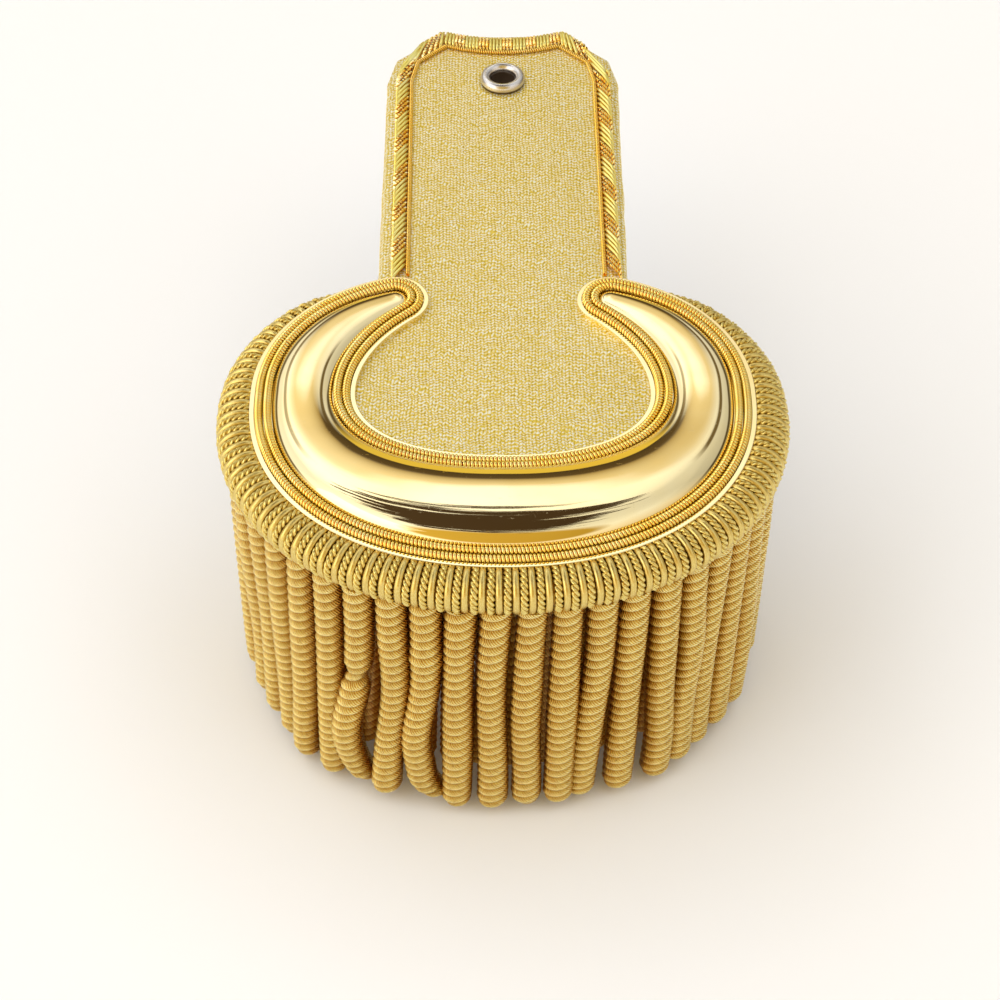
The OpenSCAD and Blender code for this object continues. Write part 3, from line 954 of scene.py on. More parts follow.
@dataclass(frozen=True)
class DarkCloth(Finish):
    """Plain dark woollen cloth."""

    colour: tuple = (0.022, 0.025, 0.045)
    lighter: float = 2.6
    twill_scale: float = 500.0
    fuzz_scale: float = 2200.0
    nap_depth: float = 0.15

    def write(self) -> bpy.types.Material:
        """Writes the recipe."""
        r = Recipe(self.name)
        place = r.position()
        twill = r.node("TexWave", {"Vector": r.stretched(place, (1, 1, 1), 40), "Scale": self.twill_scale,
                                   "Distortion": 1.5, "Detail": 2.0})
        fuzz = r.noise(place, self.fuzz_scale, 3.0, 0.7)
        tone = r.math("MULTIPLY_ADD", fuzz, 0.6, r.math("MULTIPLY", twill.outputs["Fac"], 0.4))
        colour = r.ramp(tone, [(0.25, self.colour), (0.8, tuple(self.lighter * c for c in self.colour))])
        return r.finish(colour, 0.92, 0.0, r.bump(tone, self.nap_depth, 0.7), Sheen_Weight=0.3, Sheen_Roughness=0.5)


@dataclass(frozen=True)
class PaleFloor(Finish):
    """Plain pale studio floor."""

    colour: tuple = (0.91, 0.93, 0.965)

    def write(self) -> bpy.types.Material:
        """Writes the recipe."""
        r = Recipe(self.name)
        mottle = r.noise(r.position(), 3.0, 2.0)
        colour = r.ramp(mottle, [(0.3, self.colour), (0.7, tuple(1.01 * c for c in self.colour))])
        return r.finish(colour, 0.75, 0.0)


GILT_SHEET = PolishedGilt("polished_gilt")
PEARL_WIRE = GiltWire("pearl_wire", colour=(1.0, 0.80, 0.18), pale=(1.0, 0.90, 0.38), rough=0.22)
LINE_WIRE = GiltWire("line_wire", colour=(1.0, 0.78, 0.15), pale=(1.0, 0.87, 0.30), gap_from=0.1, rough=0.25)
# The border wires' darker colours below are painted shade on the strands' lower sides.
SMOOTH_WIRE = GiltWire("smooth_wire", colour=(1.0, 0.84, 0.20), pale=(1.0, 0.92, 0.38), gap_shade=(0.96, 0.62, 0.14),
                       gap_from=0.0, rough=0.30)
CHECK_WIRE = GiltWire("check_wire", colour=(1.0, 0.76, 0.18), pale=(1.0, 0.96, 0.60), gap_shade=(0.90, 0.52, 0.12),
                      gap_from=0.0, rough=0.12)
LAME = ClothOfGold("cloth_of_gold")
GIMP = WoundCord("gimp_cord", colour=(1.0, 0.95, 0.46), bright=(1.0, 1.0, 0.70), shade=(0.72, 0.54, 0.16),
                 around=12.0, along=0.15, depth=0.006, contrast=0.10, rough=0.33, uneven=0.06)
TWIST = WoundCord("twisted_cord", colour=(1.0, 0.93, 0.38), bright=(1.0, 1.0, 0.66), shade=(0.60, 0.40, 0.08),
                  around=12.0, along=0.3, depth=0.015, contrast=0.22, rough=0.30, uneven=0.16)
BULLION = WoundCord("bullion_cord", colour=(1.0, 0.80, 0.19), bright=(1.0, 0.98, 0.60), shade=(0.58, 0.30, 0.03),
                    around=36.0, along=-6.0, depth=0.13, contrast=0.80, rough=0.28, uneven=0.18, lobed=True)
THIN_BULLION = WoundCord("thin_bullion_cord", colour=(1.0, 0.62, 0.16), bright=(1.0, 0.80, 0.36),
                         shade=(0.72, 0.34, 0.08), around=30.0, along=-5.0, depth=0.06, contrast=0.5, lobed=True,
                         metal=0.2)
NICKEL = Nickel("polished_nickel")
LINING_CLOTH = DarkCloth("dark_cloth")
FLOOR = PaleFloor("pale_floor")


def coiled_wire(name: str, length: float, outside: float, wire: float, pitch: float, steps: int,
                sides: int) -> Piece:
    """Winds a straight coil of wire along +X.

    Args:
        name: The piece's name.
        length: The coil's length in millimetres.
        outside: The coil's outer diameter.
        wire: The wire's thickness.
        pitch: The wanted distance between neighbouring turns.
        steps: How many steps a turn has.
        sides: How many sides the wire has.

    Returns:
        The coil, with whole turns from zero to its length.
    """
    turns = max(1, round(length / pitch))
    Bench.clear()
    bpy.ops.mesh.primitive_circle_add(vertices=sides, radius=wire / 2 * MM,
                                      location=(0, 0, (outside - wire) / 2 * MM), rotation=(math.pi / 2, 0, 0))
    coil = Bench.named(name)
    Bench.apply(coil, "SCREW", axis="X", angle=FULL_TURN, steps=steps, render_steps=steps,
                screw_offset=length / turns * MM, iterations=turns, use_normal_calculate=True)
    Bench.cap(coil)
    Bench.merge(coil)
    Bench.smooth(coil)
    off_axis = np.linalg.norm(Bench.coords(coil)[:, 1:], axis=1)
    # The crown value sets where the wire's material paints shade between the turns.
    Bench.mark(coil, "crown", (2 * off_axis - outside + wire) / wire)
    return coil


@dataclass
class Cloth:
    """The stiff strap and pad under their metal cloth, and the dark lining below."""

    flare_at: float = 138.5
    lining_flare_at: float = 135.0
    roll: float = 1.9
    lining_roll: float = 0.5
    roll_steps: int = 7
    low_edge: tuple = ((0.5, 0.0), (0.14, 0.08), (0.0, 0.28))
    hole_r: float = 3.6
    hole_sides: int = 64
    punch_h: float = 20.0
    smooth_below: float = 40.0
    waves: tuple = ((5.3, 0.0, 0.5), (2.9, 1.0, 0.3), (11.0, 0.0, 0.4))
    wave_right: float = 0.28
    wave_left: float = 0.16
    wavy_past: float = 20.0
    wavy_from: float = 50.0
    wavy_to: float = 126.0
    wavy_fade: float = 8.0

    def wavy(self, x: float, y: float) -> float:
        """How far the cloth's rolled edge bulges out at a place along the strap."""
        if abs(x) <= self.wavy_past or not self.wavy_from <= y <= self.wavy_to:
            return 0.0
        fade = min(1.0, (y - self.wavy_from) / self.wavy_fade, (self.wavy_to - y) / self.wavy_fade)
        wave = sum(size * math.sin(y / run + start) for run, start, size in self.waves)
        return abs(fade * (self.wave_right if x > 0 else self.wave_left) * wave)

    def edge_layers(self, thickness: float, roll: float) -> list[tuple[float, float]]:
        """Inset and height of each ring up the rounded edge of a sheet.

        Args:
            thickness: The sheet's thickness.
            roll: How far in the rounding reaches on top.

        Returns:
            The rings from the bottom up, in millimetres.
        """
        rings = [(inset, share * thickness) for inset, share in self.low_edge]
        belly = self.low_edge[-1][1]
        for i in range(1, self.roll_steps + 1):
            angle = math.pi / 2 * i / self.roll_steps
            rings.append((roll * (1 - math.cos(angle)), thickness * (belly + (1 - belly) * math.sin(angle))))
        return rings

    def sheet(self, name: str, meets_at: float, base: float, thickness: float, roll: float) -> Piece:
        """Builds a flat pierced sheet with a rounded edge, from a filled ring that is extruded up layer by layer.

        Args:
            name: The piece's name.
            meets_at: The angle at which its flare meets the pad.
            base: The height of its underside.
            thickness: Its thickness.
            roll: How far in the rounding reaches on top.

        Returns:
            The sheet.
        """
        layers = self.edge_layers(thickness, roll)
        rings = [PLAN.outline(inset, meets_at) for inset, _ in layers]
        count = len(rings[0])
        Bench.clear()
        bpy.ops.mesh.primitive_circle_add(vertices=count, radius=MM, fill_type="NGON")
        piece = Bench.named(name)
        with Bench.editing(piece):
            for _ in layers[1:]:
                bpy.ops.mesh.extrude_region_move(TRANSFORM_OT_translate={"value": (0, 0, MM)})
        level = np.rint(Bench.coords(piece)[:, 2]).astype(int)
        places = []
        for ring, point in zip(level, Bench.spokes(piece, count)):
            x, y = rings[ring][(-point) % count]
            places.append([x + math.copysign(self.wavy(x, y), x), y, base + layers[ring][1]])
        Bench.move(piece, np.array(places))
        Bench.merge(piece)
        self.pierce(piece)
        Bench.smooth(piece, self.smooth_below)
        return piece

    def pierce(self, piece: Piece) -> None:
        """Cuts the eyelet's hole through a sheet."""
        Bench.clear()
        bpy.ops.mesh.primitive_cylinder_add(vertices=self.hole_sides, radius=self.hole_r * MM,
                                            depth=self.punch_h * MM, location=(0, PLAN.eyelet_y * MM, 0))
        punch = Bench.named("punch")
        Bench.apply(piece, "BOOLEAN", operation="DIFFERENCE", object=punch, solver="EXACT")
        bpy.data.objects.remove(punch)

    def build(self) -> None:
        """Builds and dresses the lining and the board."""
        lining = self.sheet("lining_cloth", self.lining_flare_at, 0.0, PLAN.lining_t, self.lining_roll)
        Bench.dress(lining, LINING_CLOTH, "dark_lining", "lining")
        board = self.sheet("board_cloth", self.flare_at, PLAN.lining_t, PLAN.board_t, self.roll)
        Bench.dress(board, LAME, "cloth_of_gold", "board")


@dataclass
class Eyelet:
    """The nickel eyelet near the strap's end."""

    bore_r: float = 3.05
    wall: float = 0.4
    ring_r: float = 5.5
    ring_h: float = 2.2
    ring_foot: float = 0.3
    ring_steps: int = 14
    lift: float = 0.02
    undercut: float = 0.15
    back_h: float = 0.8
    back_less: float = 0.25
    back_steps: int = 8
    steps: int = 96
    smooth_below: float = 50.0

    def profile(self) -> list[tuple[float, float]]:
        """Section of the eyelet from its axis out: rounded ring, barrel and rolled lip."""
        half = (self.ring_r - self.bore_r) / 2
        middle = self.bore_r + half
        rest = PLAN.top_z + self.lift
        ring = [
            (middle - half * math.cos(a), rest + self.ring_h * (self.ring_foot + (1 - self.ring_foot) * math.sin(a)))
            for a in even_steps(0, math.pi, math.pi / self.ring_steps)
        ]
        lip_half = half - self.back_less
        lip = [
            (self.bore_r + lip_half + lip_half * math.cos(a), -self.back_h * math.sin(a))
            for a in even_steps(0, math.pi, math.pi / self.back_steps)
        ]
        barrel = self.bore_r + self.wall
        return ring + [(self.ring_r - self.undercut, rest), (barrel, rest), (barrel, 0.0)] + lip

    def build(self) -> None:
        """Builds and dresses the eyelet."""
        section = self.profile()
        Bench.clear()
        bpy.ops.mesh.primitive_circle_add(vertices=len(section), radius=MM)
        eyelet = Bench.named("nickel_eyelet")
        points = [section[spoke] for spoke in Bench.spokes(eyelet, len(section))]
        Bench.move(eyelet, np.array([[out, 0.0, high] for out, high in points]))
        with Bench.editing(eyelet):
            bpy.ops.mesh.spin(steps=self.steps, angle=FULL_TURN, center=(0, 0, 0), axis=(0, 0, 1))
        Bench.merge(eyelet)
        Bench.move(eyelet, Bench.coords(eyelet) + np.array([0, PLAN.eyelet_y, 0]))
        Bench.smooth(eyelet, self.smooth_below)
        Bench.dress(eyelet, NICKEL, "nickel", "eyelet")


@dataclass
class Crescent:
    """The gilt crescent: its rim, its floor for the coiled wire and its dome."""

    band_w: float = 4.45
    rim_h: float = 1.3
    rim_out: float = 0.5
    rim_front: tuple = ((0.0, 0.84), (0.04, 0.95), (0.13, 1.0), (0.18, 1.0))
    rim_back: tuple = ((0.48, 1.0), (0.52, 1.0), (0.62, 0.88))
    wall_at: float = 0.64
    floor_h: float = 0.6
    step_h: float = 0.35
    step_from: float = 0.54
    step_to: float = 0.56
    dome_rise: float = 0.44
    dome_gap: float = 0.12
    under_w: float = 0.8
    crest_in: float = 0.7
    crest_in_sides: float = -1.7
    crest_turn: float = 1.3
    crest_fade: float = 20.0
    side_step: float = 2.0
    cap_steps: int = 20
    dome_steps: int = 26
    fullness: float = 2.4
    smooth_below: float = 38.0

    @property
    def floor(self) -> float:
        """Height of the floor under the outer row of coiled wire."""
        return PLAN.top_z + self.floor_h

    @property
    def foot(self) -> float:
        """Height of the dome's foot."""
        return self.floor + self.step_h

    @property
    def stations(self) -> list[tuple[np.ndarray, np.ndarray, float]]:
        """Middle point, unit vector to the edge and half width, anticlockwise around the crescent."""
        return [(PLAN.spine(t), m, PLAN.half_width(t)) for t, m in self.directions]

    @property
    def directions(self) -> list[tuple[float, np.ndarray]]:
        """Angle from the front and unit vector to the edge, anticlockwise around the crescent."""
        angles = even_steps(-PLAN.tip_at, PLAN.tip_at, self.side_step)
        places = [(t, PLAN.to_edge(t, Side.OUTER)) for t in angles]
        places += self.tip_turn(PLAN.tip_at)
        places += [(t, PLAN.to_edge(t, Side.INNER)) for t in reversed(angles)]
        return places + [(-t, np.array([-m[0], m[1]])) for t, m in reversed(self.tip_turn(PLAN.tip_at))]

    def crest(self, turn: float) -> np.ndarray:
        """Point under the dome's crest, a little in from the middle line in front and out from it at the sides."""
        aside = min(1.0, abs(math.sin(math.radians(turn))) * self.crest_turn)
        inward = self.crest_in + self.crest_in_sides * aside
        fade = min(1.0, (PLAN.tip_at - abs(turn)) / self.crest_fade)
        return PLAN.spine(turn) - inward * fade * PLAN.to_edge(turn, Side.OUTER)

    def tip_turn(self, turn: float) -> list[tuple[float, np.ndarray]]:
        """Directions round the right tip, from its outer to its inner side."""
        outer = PLAN.to_edge(turn, Side.OUTER)
        inner = PLAN.to_edge(turn, Side.INNER)
        first = math.atan2(outer[1], outer[0])
        last = math.atan2(inner[1], inner[0]) % FULL_TURN
        angles = [first + (last - first) * i / self.cap_steps for i in range(1, self.cap_steps)]
        return [(turn, np.array([math.cos(a), math.sin(a)])) for a in angles]

    def line(self, inset: float, z: float) -> Route:
        """Closed route around the crescent at an inset from its edge."""
        return Route(raised([c + (w - inset) * m for c, m, w in self.stations], z), closed=True)

    def rows(self, half: float) -> list[tuple[float, float, float]]:
        """Rows of points across the crescent, from its underside to its crest.

        Args:
            half: The crescent's half width there.

        Returns:
            The inset from the edge in millimetres, the share of the way from there to the crest, and the height.
        """
        rim = [(inset - self.rim_out, share) for inset, share in self.rim_front]
        rim += self.rim_back
        rows = [(self.band_w + self.under_w, 0.0, PLAN.top_z), (-self.rim_out, 0.0, PLAN.top_z)]
        rows += [(inset, 0.0, PLAN.top_z + share * self.rim_h) for inset, share in rim]
        rows += [
            (self.wall_at, 0.0, self.floor),
            (self.band_w * self.step_from, 0.0, self.floor),
            (self.band_w * self.step_to, 0.0, self.foot),
            (self.band_w - self.dome_gap, 0.0, self.foot),
        ]
        rise = self.dome_rise * (half - self.band_w)
        power = 2 / self.fullness
        for angle in even_steps(0, math.pi / 2, math.pi / 2 / self.dome_steps):
            share = 1 - max(0.0, math.cos(angle)) ** power
            rows.append((self.band_w, share, self.foot + rise * math.sin(angle) ** power))
        return rows

    def build(self) -> None:
        """Builds and dresses the crescent."""
        stations = self.stations
        crests = [self.crest(turn) for turn, _ in self.directions]
        grid = [self.rows(half) for _, _, half in stations]

        def place(row: int, column: int) -> tuple:
            """Point of the crescent's surface at a row across and a column around."""
            index = column % len(stations)
            centre, away, half = stations[index]
            inset, share, z = grid[index][row]
            x, y = (1 - share) * (centre + (half - inset) * away) + share * crests[index]
            return x, y, z

        crescent = Bench.rolled("gilt_crescent", len(grid[0]) - 1, len(stations), place)
        Bench.close(crescent)
        Bench.smooth(crescent, self.smooth_below)
        Bench.dress(crescent, GILT_SHEET, "gilt_metal", "crescent")


@dataclass
class PearlRows:
    """The two closed rows of coiled wire around the crescent's dome."""

    outside: float = 1.84
    wire: float = 0.82
    pitch: float = 0.82
    rim_in: float = 1.55
    dome_in: float = 3.45
    lift: float = 0.12
    steps: int = 20
    sides: int = 9
    rim_seams: tuple = (0.11, 0.34, 0.62)
    dome_seams: tuple = (0.07, 0.45, 0.81)
    seam: float = 0.1

    def row(self, name: str, node: str, inset: float, z: float, seams: tuple) -> None:
        """Builds and dresses one row, in stretches that meet at small seams.

        Args:
            name: The piece's name.
            node: The CAD node that it stands for.
            inset: Its distance in from the crescent's edge.
            z: The height of its axis.
            seams: Where along the row, as rising shares of its length, one stretch ends and the next starts.
        """
        route = Crescent().line(inset, z)
        stretches = []
        for start, last in zip(seams, (*seams[1:], seams[0] + 1)):
            length = (last - start) * route.length - self.seam
            coil = coiled_wire("stretch", length, self.outside, self.wire, self.pitch, self.steps, self.sides)
            Bench.laid(coil, route, start * route.length)
            stretches.append(coil)
        row = Bench.joined(stretches, name)
        Bench.dress(row, PEARL_WIRE, "coiled_wire", node)

    def build(self) -> None:
        """Builds both rows."""
        crescent = Crescent()
        radius = self.outside / 2
        self.row("pearl_row_outer", "rim_purl", self.rim_in, crescent.floor + self.lift + radius, self.rim_seams)
        self.row("pearl_row_inner", "dome_purl", self.dome_in, crescent.foot + self.lift + radius, self.dome_seams)


@dataclass
class Border:
    """The padded border of slanting wire strands, and the fine line of coiled wire inside it."""

    height: float = 1.5
    strand: float = 0.84
    side_lean: float = 27.0
    corner_lean: float = 9.0
    corner_more: float = 4.0
    corner_fade: float = 2.0
    corner_below: float = 3.0
    skew: float = 0.8
    side_in: float = 2.3
    corner_in: float = 0.5
    end_in: float = 1.0
    dip: float = 2.9
    line_side_in: float = 6.0
    line_corner_in: float = 5.5
    line_end_in: float = 6.9
    line_dip: float = 2.7
    line_d: float = 1.15
    line_wire: float = 0.46
    line_pitch: float = 0.56
    line_bed: float = 0.05
    line_step: float = 0.6
    line_steps: int = 8
    line_sides: int = 5
    under_line: float = 0.6
    under_line_end: float = 0.7
    ends_at: float = 45.3
    first_in: float = 1.0
    last_in: float = 0.6
    samples: int = 1600
    group: int = 7
    smooth_group: int = 4
    longer: float = 0.2
    least_crossing: float = 0.35
    least_half: float = 0.5
    thicker: tuple = (0.98, 1.1)
    higher: tuple = (-0.06, 0.1)
    smooth_sides: int = 8
    smooth_steps: int = 14
    check_sides: int = 4
    check_steps: int = 16
    check_turn: float = 0.7
    check_radii: tuple = (0.44, 0.56)
    smooth_below: float = 60.0
    curl: float = 0.7
    taper: float = 0.7
    sunk: float = 0.1
    seed: int = 7

    def path(self, side_in: float, corner_in: float, end_in: float, dip: float, z: float) -> Route:
        """Route round the strap's end from the left side's foot to the right's."""
        right = PLAN.strap_end(side_in, corner_in, end_in, dip)
        right.append(np.array([PLAN.half_w - side_in, self.ends_at]))
        points = raised(mirrored(right)[:-1] + right, z)
        high = PLAN.reach - PLAN.corner_l
        points[:, 0] += self.skew * np.clip((high - points[:, 1]) / (high - self.ends_at), 0, 1)
        return Route(points)

    def lean_at(self, point: np.ndarray) -> float:
        """How far, in degrees from the strap's axis, a strand leans towards the middle at a place."""
        out = abs(point[0]) - PLAN.end_half
        if out < 0:
            return self.corner_lean * max(0.0, 1 + out / self.corner_fade)
        if point[1] < PLAN.reach - PLAN.corner_l - self.corner_below:
            return self.side_lean
        share = min(1.0, out / (PLAN.corner_w - self.corner_fade))
        return self.corner_lean + (self.side_lean + self.corner_more - self.corner_lean) * share

    def arch(self, name: str, kind: Strand) -> Piece:
        """Models one strand as a straight length of wire along +X from -1 to 1, to be arched and placed.

        Args:
            name: The piece's name.
            kind: Smooth or check wire.

        Returns:
            The strand, one millimetre thick.
        """
        smooth = kind is Strand.SMOOTH
        sides = self.smooth_sides if smooth else self.check_sides
        steps = self.smooth_steps if smooth else self.check_steps

        def place(row: int, column: int) -> tuple:
            """Point of the wire's surface."""
            angle = FULL_TURN * row / sides + (0.0 if smooth else column * self.check_turn)
            radius = 0.5 if smooth else self.check_radii[column % 2]
            return 2 * column / steps - 1, radius * math.cos(angle), radius * math.sin(angle)

        wire = Bench.rolled(name, sides, steps, place)
        Bench.merge(wire)
        Bench.cap(wire)
        Bench.merge(wire)
        # The crown value sets the strand's painted shade, darker on its lower half.
        Bench.mark(wire, "crown", Bench.coords(wire)[:, 2] * 2)
        return wire

    @staticmethod
    def reach_to(path: np.ndarray, point: np.ndarray, facing: np.ndarray, otherwise: float) -> float:
        """Distance from a point along a direction, forwards or back, to where it first crosses a path.

        Args:
            path: The path's points.
            point: The point.
            facing: The unit direction.
            otherwise: The distance to give where nothing is crossed.

        Returns:
            The distance, below zero where the crossing lies back.
        """
        first = path[:-1, :2] - point[:2]
        edge = path[1:, :2] - path[:-1, :2]
        turn = facing[0] * edge[:, 1] - facing[1] * edge[:, 0]
        turn = np.where(np.abs(turn) < 1e-9, 1e-9, turn)
        run = (first[:, 0] * edge[:, 1] - first[:, 1] * edge[:, 0]) / turn
        share = (first[:, 0] * facing[1] - first[:, 1] * facing[0]) / turn
        hits = run[(share >= 0) & (share <= 1) & (np.abs(run) < 2 * abs(otherwise))]
        return float(hits[np.argmin(np.abs(hits))]) if len(hits) else otherwise

    def build(self) -> None:
        """Builds and dresses the strands and the fine line."""
        made = self.strands()
        smooth = Bench.joined(made[Strand.SMOOTH], "border_smooth_strands")
        Bench.smooth(smooth, self.smooth_below)
        Bench.dress(smooth, SMOOTH_WIRE, "wire_border", "border")
        check = Bench.joined(made[Strand.CHECK], "border_check_strands")
        Bench.dress(check, CHECK_WIRE, "wire_border", "border")
        route = self.path(self.line_side_in, self.line_corner_in, self.line_end_in, self.line_dip,
                          PLAN.top_z + self.line_d / 2 - self.line_bed)
        route = Route(route.at(np.array(even_steps(0, route.length, self.line_step)))[0]).rounded()
        line = coiled_wire("fine_wire_line", route.length, self.line_d, self.line_wire, self.line_pitch,
                           self.line_steps, self.line_sides)
        Bench.laid(line, route)
        Bench.dress(line, LINE_WIRE, "coiled_wire", "fine_line")

    def strands(self) -> dict[Strand, list[Piece]]:
        """Lays strand by strand round the border, and sorts them by kind."""
        outer = self.path(self.side_in, self.corner_in, self.end_in, self.dip, PLAN.top_z)
        inner = self.path(self.line_side_in - self.under_line, self.line_corner_in - self.under_line,
                          self.line_end_in - self.under_line_end, self.line_dip, PLAN.top_z)
        shares = np.linspace(0, 1, self.samples)
        outer_points = outer.at(shares * outer.length)[0]
        inner_points = inner.at(shares * inner.length)[0]
        middle = Route((outer_points + inner_points) / 2)
        half_widths = np.linalg.norm(outer_points - inner_points, axis=1) / 2
        masters = {kind: self.arch(f"master_{kind.value}", kind) for kind in Strand}
        made = {kind: [] for kind in Strand}
        rng = random.Random(self.seed)
        run = self.first_in
        index = 0
        while run < middle.length - self.last_in:
            point, way = (v[0] for v in middle.at(np.array([run])))
            lean = math.radians(self.lean_at(point)) * (1 if point[0] < 0 else -1)
            facing = np.array([math.sin(lean), math.cos(lean), 0.0])
            across = np.array([-way[1], way[0], 0.0])
            crossing = max(self.least_crossing, abs(float(facing @ across)))
            half = float(np.interp(run, middle.runs, half_widths)) / crossing
            if facing @ across < 0:
                half = -half
            outer_run = self.reach_to(outer_points, point, facing, half)
            inner_run = self.reach_to(inner_points, point, facing, -half)
            kind = Strand.SMOOTH if index % self.group < self.smooth_group else Strand.CHECK
            thick = self.strand * rng.uniform(*self.thicker)
            reach = max(self.least_half, abs(outer_run - inner_run) / 2 + self.longer)
            made[kind].append(self.strand_at(masters[kind], point + facing * (outer_run + inner_run) / 2, way,
                                             facing, reach, thick, rng.uniform(*self.higher)))
            run += self.strand / crossing
            index += 1
        for master in masters.values():
            bpy.data.objects.remove(master)
        return made

    def strand_at(self, master: Piece, point: np.ndarray, way: np.ndarray, facing: np.ndarray,
                  reach: float, thick: float, lift: float) -> Piece:
        """Copies a strand, arches it over the padding and lays it across the border.

        Args:
            master: The straight strand.
            point: The middle of the border there.
            way: The border's own direction.
            facing: The strand's direction in plan.
            reach: Half the strand's length.
            thick: Its thickness.
            lift: A small extra height.

        Returns:
            The placed strand.
        """
        piece = Bench.copied(master, "strand")
        coords = Bench.coords(piece)
        share = coords[:, 0:1]
        side = np.cross(UP, facing)
        rise = (self.height - thick / 2 + lift) * np.sqrt(np.clip(1.02 - share ** 4, 0, 1)) - self.sunk
        curl = (share ** 3 - share) * self.curl * abs(facing @ way)
        centre = point + share * reach * facing + curl * way * np.sign(facing @ way)
        thick = thick * (1 - self.taper * share ** 8)
        ring = coords[:, 1:2] * thick * side + coords[:, 2:3] * thick * UP
        Bench.move(piece, centre + rise * UP + ring)
        return piece


@dataclass
class Heading:
    """The padded roll around the pad's edge, wrapped with gimp and twisted cord in turn."""

    reach: float = 7.3
    rise: float = 0.8
    drop: float = 3.0
    front_less: float = 0.08
    taper_at: float = 85.0
    ends_at: float = 134.0
    end_reach: float = 0.35
    end_height: float = 0.5
    fringe_ends_at: float = 124.0
    pair_pitch: float = 3.35
    end_ease: float = 1.5
    middle_at: float = 0.6
    over_roll: tuple = ((0.05, 0.62), (0.07, 0.84), (0.2, 0.99), (0.38, 0.97), (0.56, 0.87), (0.72, 0.68),
                        (0.86, 0.40), (0.94, 0.10), (0.97, -0.22), (0.94, -0.52), (0.84, -0.78), (0.66, -0.94),
                        (0.46, -1.0))
    core_shares: tuple = (0.0, 0.02, 0.15, 0.3, 0.45, 0.6, 0.75, 0.9, 1.0, 1.04)
    core_off: float = -0.35
    core_steps: int = 160
    gimp_d: float = 1.62
    gimp_flat: float = 0.92
    gimp_steps: int = 22
    gimp_sides: int = 8
    gimp_seed: int = 3
    twist_d: float = 1.75
    twist_lay: float = 4.1
    twist_steps: int = 52
    twist_sides: int = 18
    twist_seed: int = 4
    ply_off: float = 0.9
    slant: float = 0.012
    aside: float = 0.06
    slip: float = 0.18
    off_roll: tuple = (-0.05, 0.08)

    def reach_share(self, turn: float) -> float:
        """Reach at an angle from the front, as a share of the full reach."""
        if abs(turn) < self.taper_at:
            return 1 - self.front_less * math.cos(math.pi / 2 * turn / self.taper_at) ** 2
        share = (abs(turn) - self.taper_at) / (self.ends_at - self.taper_at)
        return 1 - (1 - self.end_reach) * share ** self.end_ease

    def height_share(self, turn: float) -> float:
        """Height at an angle from the front, as a share of the full height."""
        if abs(turn) < self.fringe_ends_at:
            return 1.0
        return 1 - (1 - self.end_height) * (abs(turn) - self.fringe_ends_at) / (self.ends_at - self.fringe_ends_at)

    def section(self) -> Route:
        """Path of a cord over the roll, as distance past the pad's edge, zero and height."""
        middle = PLAN.top_z / 2
        points = []
        for out, high in self.over_roll:
            span = middle + (self.rise if high > 0 else self.drop)
            points.append([out * self.reach, 0.0, middle + high * span])
        return Route(np.array(points))

    def below(self, turn: float, past: float, pull: float) -> np.ndarray:
        """Point under the heading, drawn in where the heading is thinner.

        Args:
            turn: The angle in degrees from the front.
            past: How far past the pad's edge it lies in the full heading.
            pull: How far it is drawn in where the heading has no reach.

        Returns:
            The point in plan.
        """
        return PLAN.pad_edge(turn, past - pull * (1 - self.reach_share(turn)))

    def arc(self) -> tuple[np.ndarray, np.ndarray]:
        """Angles around the heading, and the distance run along its middle up to each."""
        turns = np.array(even_steps(-self.ends_at, self.ends_at, 1.0))
        return turns, run_up(np.array([
            PLAN.pad_edge(t, self.reach * self.middle_at * self.reach_share(t)) for t in turns
        ]))

    def wrap(self, piece: Piece) -> None:
        """Wraps a flat blanket of cords over the roll.

        The blanket lies with X around the pad, Y along the cords from the inside out, and Z off the roll.

        Args:
            piece: The blanket, in millimetres.
        """
        turns, runs = self.arc()
        section = self.section()
        flat = Bench.coords(piece)
        angles = np.interp(flat[:, 0], runs, turns)
        points, ways = section.at(np.clip(flat[:, 1], 0, section.length))
        normals = np.column_stack([-ways[:, 2], np.zeros(len(ways)), ways[:, 0]])
        middle = PLAN.top_z / 2
        coords = np.empty_like(flat)
        for i, turn in enumerate(angles):
            off = flat[i, 2]
            past = (points[i, 0] * self.reach_share(turn)) + normals[i, 0] * off
            high = (points[i, 2] - middle) * self.height_share(turn) + normals[i, 2] * off
            coords[i, :2] = PLAN.pad_edge(turn, past)
            coords[i, 2] = middle + high
        Bench.move(piece, coords)

    def gimp(self, length: float) -> Piece:
        """Models one smooth gimp cord of a length, lying along +Y with rounded ends."""
        radius = self.gimp_d / 2

        def place(row: int, column: int) -> tuple:
            """Point of the cord's surface."""
            share = row / self.gimp_steps
            around = radius * end_rounding(share, length, radius)
            angle = FULL_TURN * column / self.gimp_sides
            return around * math.cos(angle), share * length, self.gimp_flat * around * math.sin(angle)

        cord = Bench.rolled("gimp", self.gimp_steps, self.gimp_sides, place)
        Bench.scale_map(cord, 1.0, length)
        Bench.merge(cord)
        # The crown value sets the painted shade, darker towards the cord's underside.
        Bench.mark(cord, "crown", np.clip(Bench.coords(cord)[:, 2] / (0.8 * radius), 0, 1))
        return cord

    def twist(self, length: float) -> Piece:
        """Models one cord of three plies twisted together, of a length, lying along +Y with rounded ends."""
        radius = self.twist_d / 2

        def place(row: int, column: int) -> tuple:
            """Point of the cord's surface."""
            share = row / self.twist_steps
            angle = FULL_TURN * column / self.twist_sides
            within = (angle + math.pi / 3) % (FULL_TURN / 3) - math.pi / 3
            ply = self.ply_off * math.cos(within) + math.sqrt(1 - (self.ply_off * math.sin(within)) ** 2)
            around = radius * ply / (1 + self.ply_off) * end_rounding(share, length, 0.8 * radius)
            spun = angle - FULL_TURN * length / self.twist_lay * share
            return around * math.cos(spun), share * length, around * math.sin(spun)

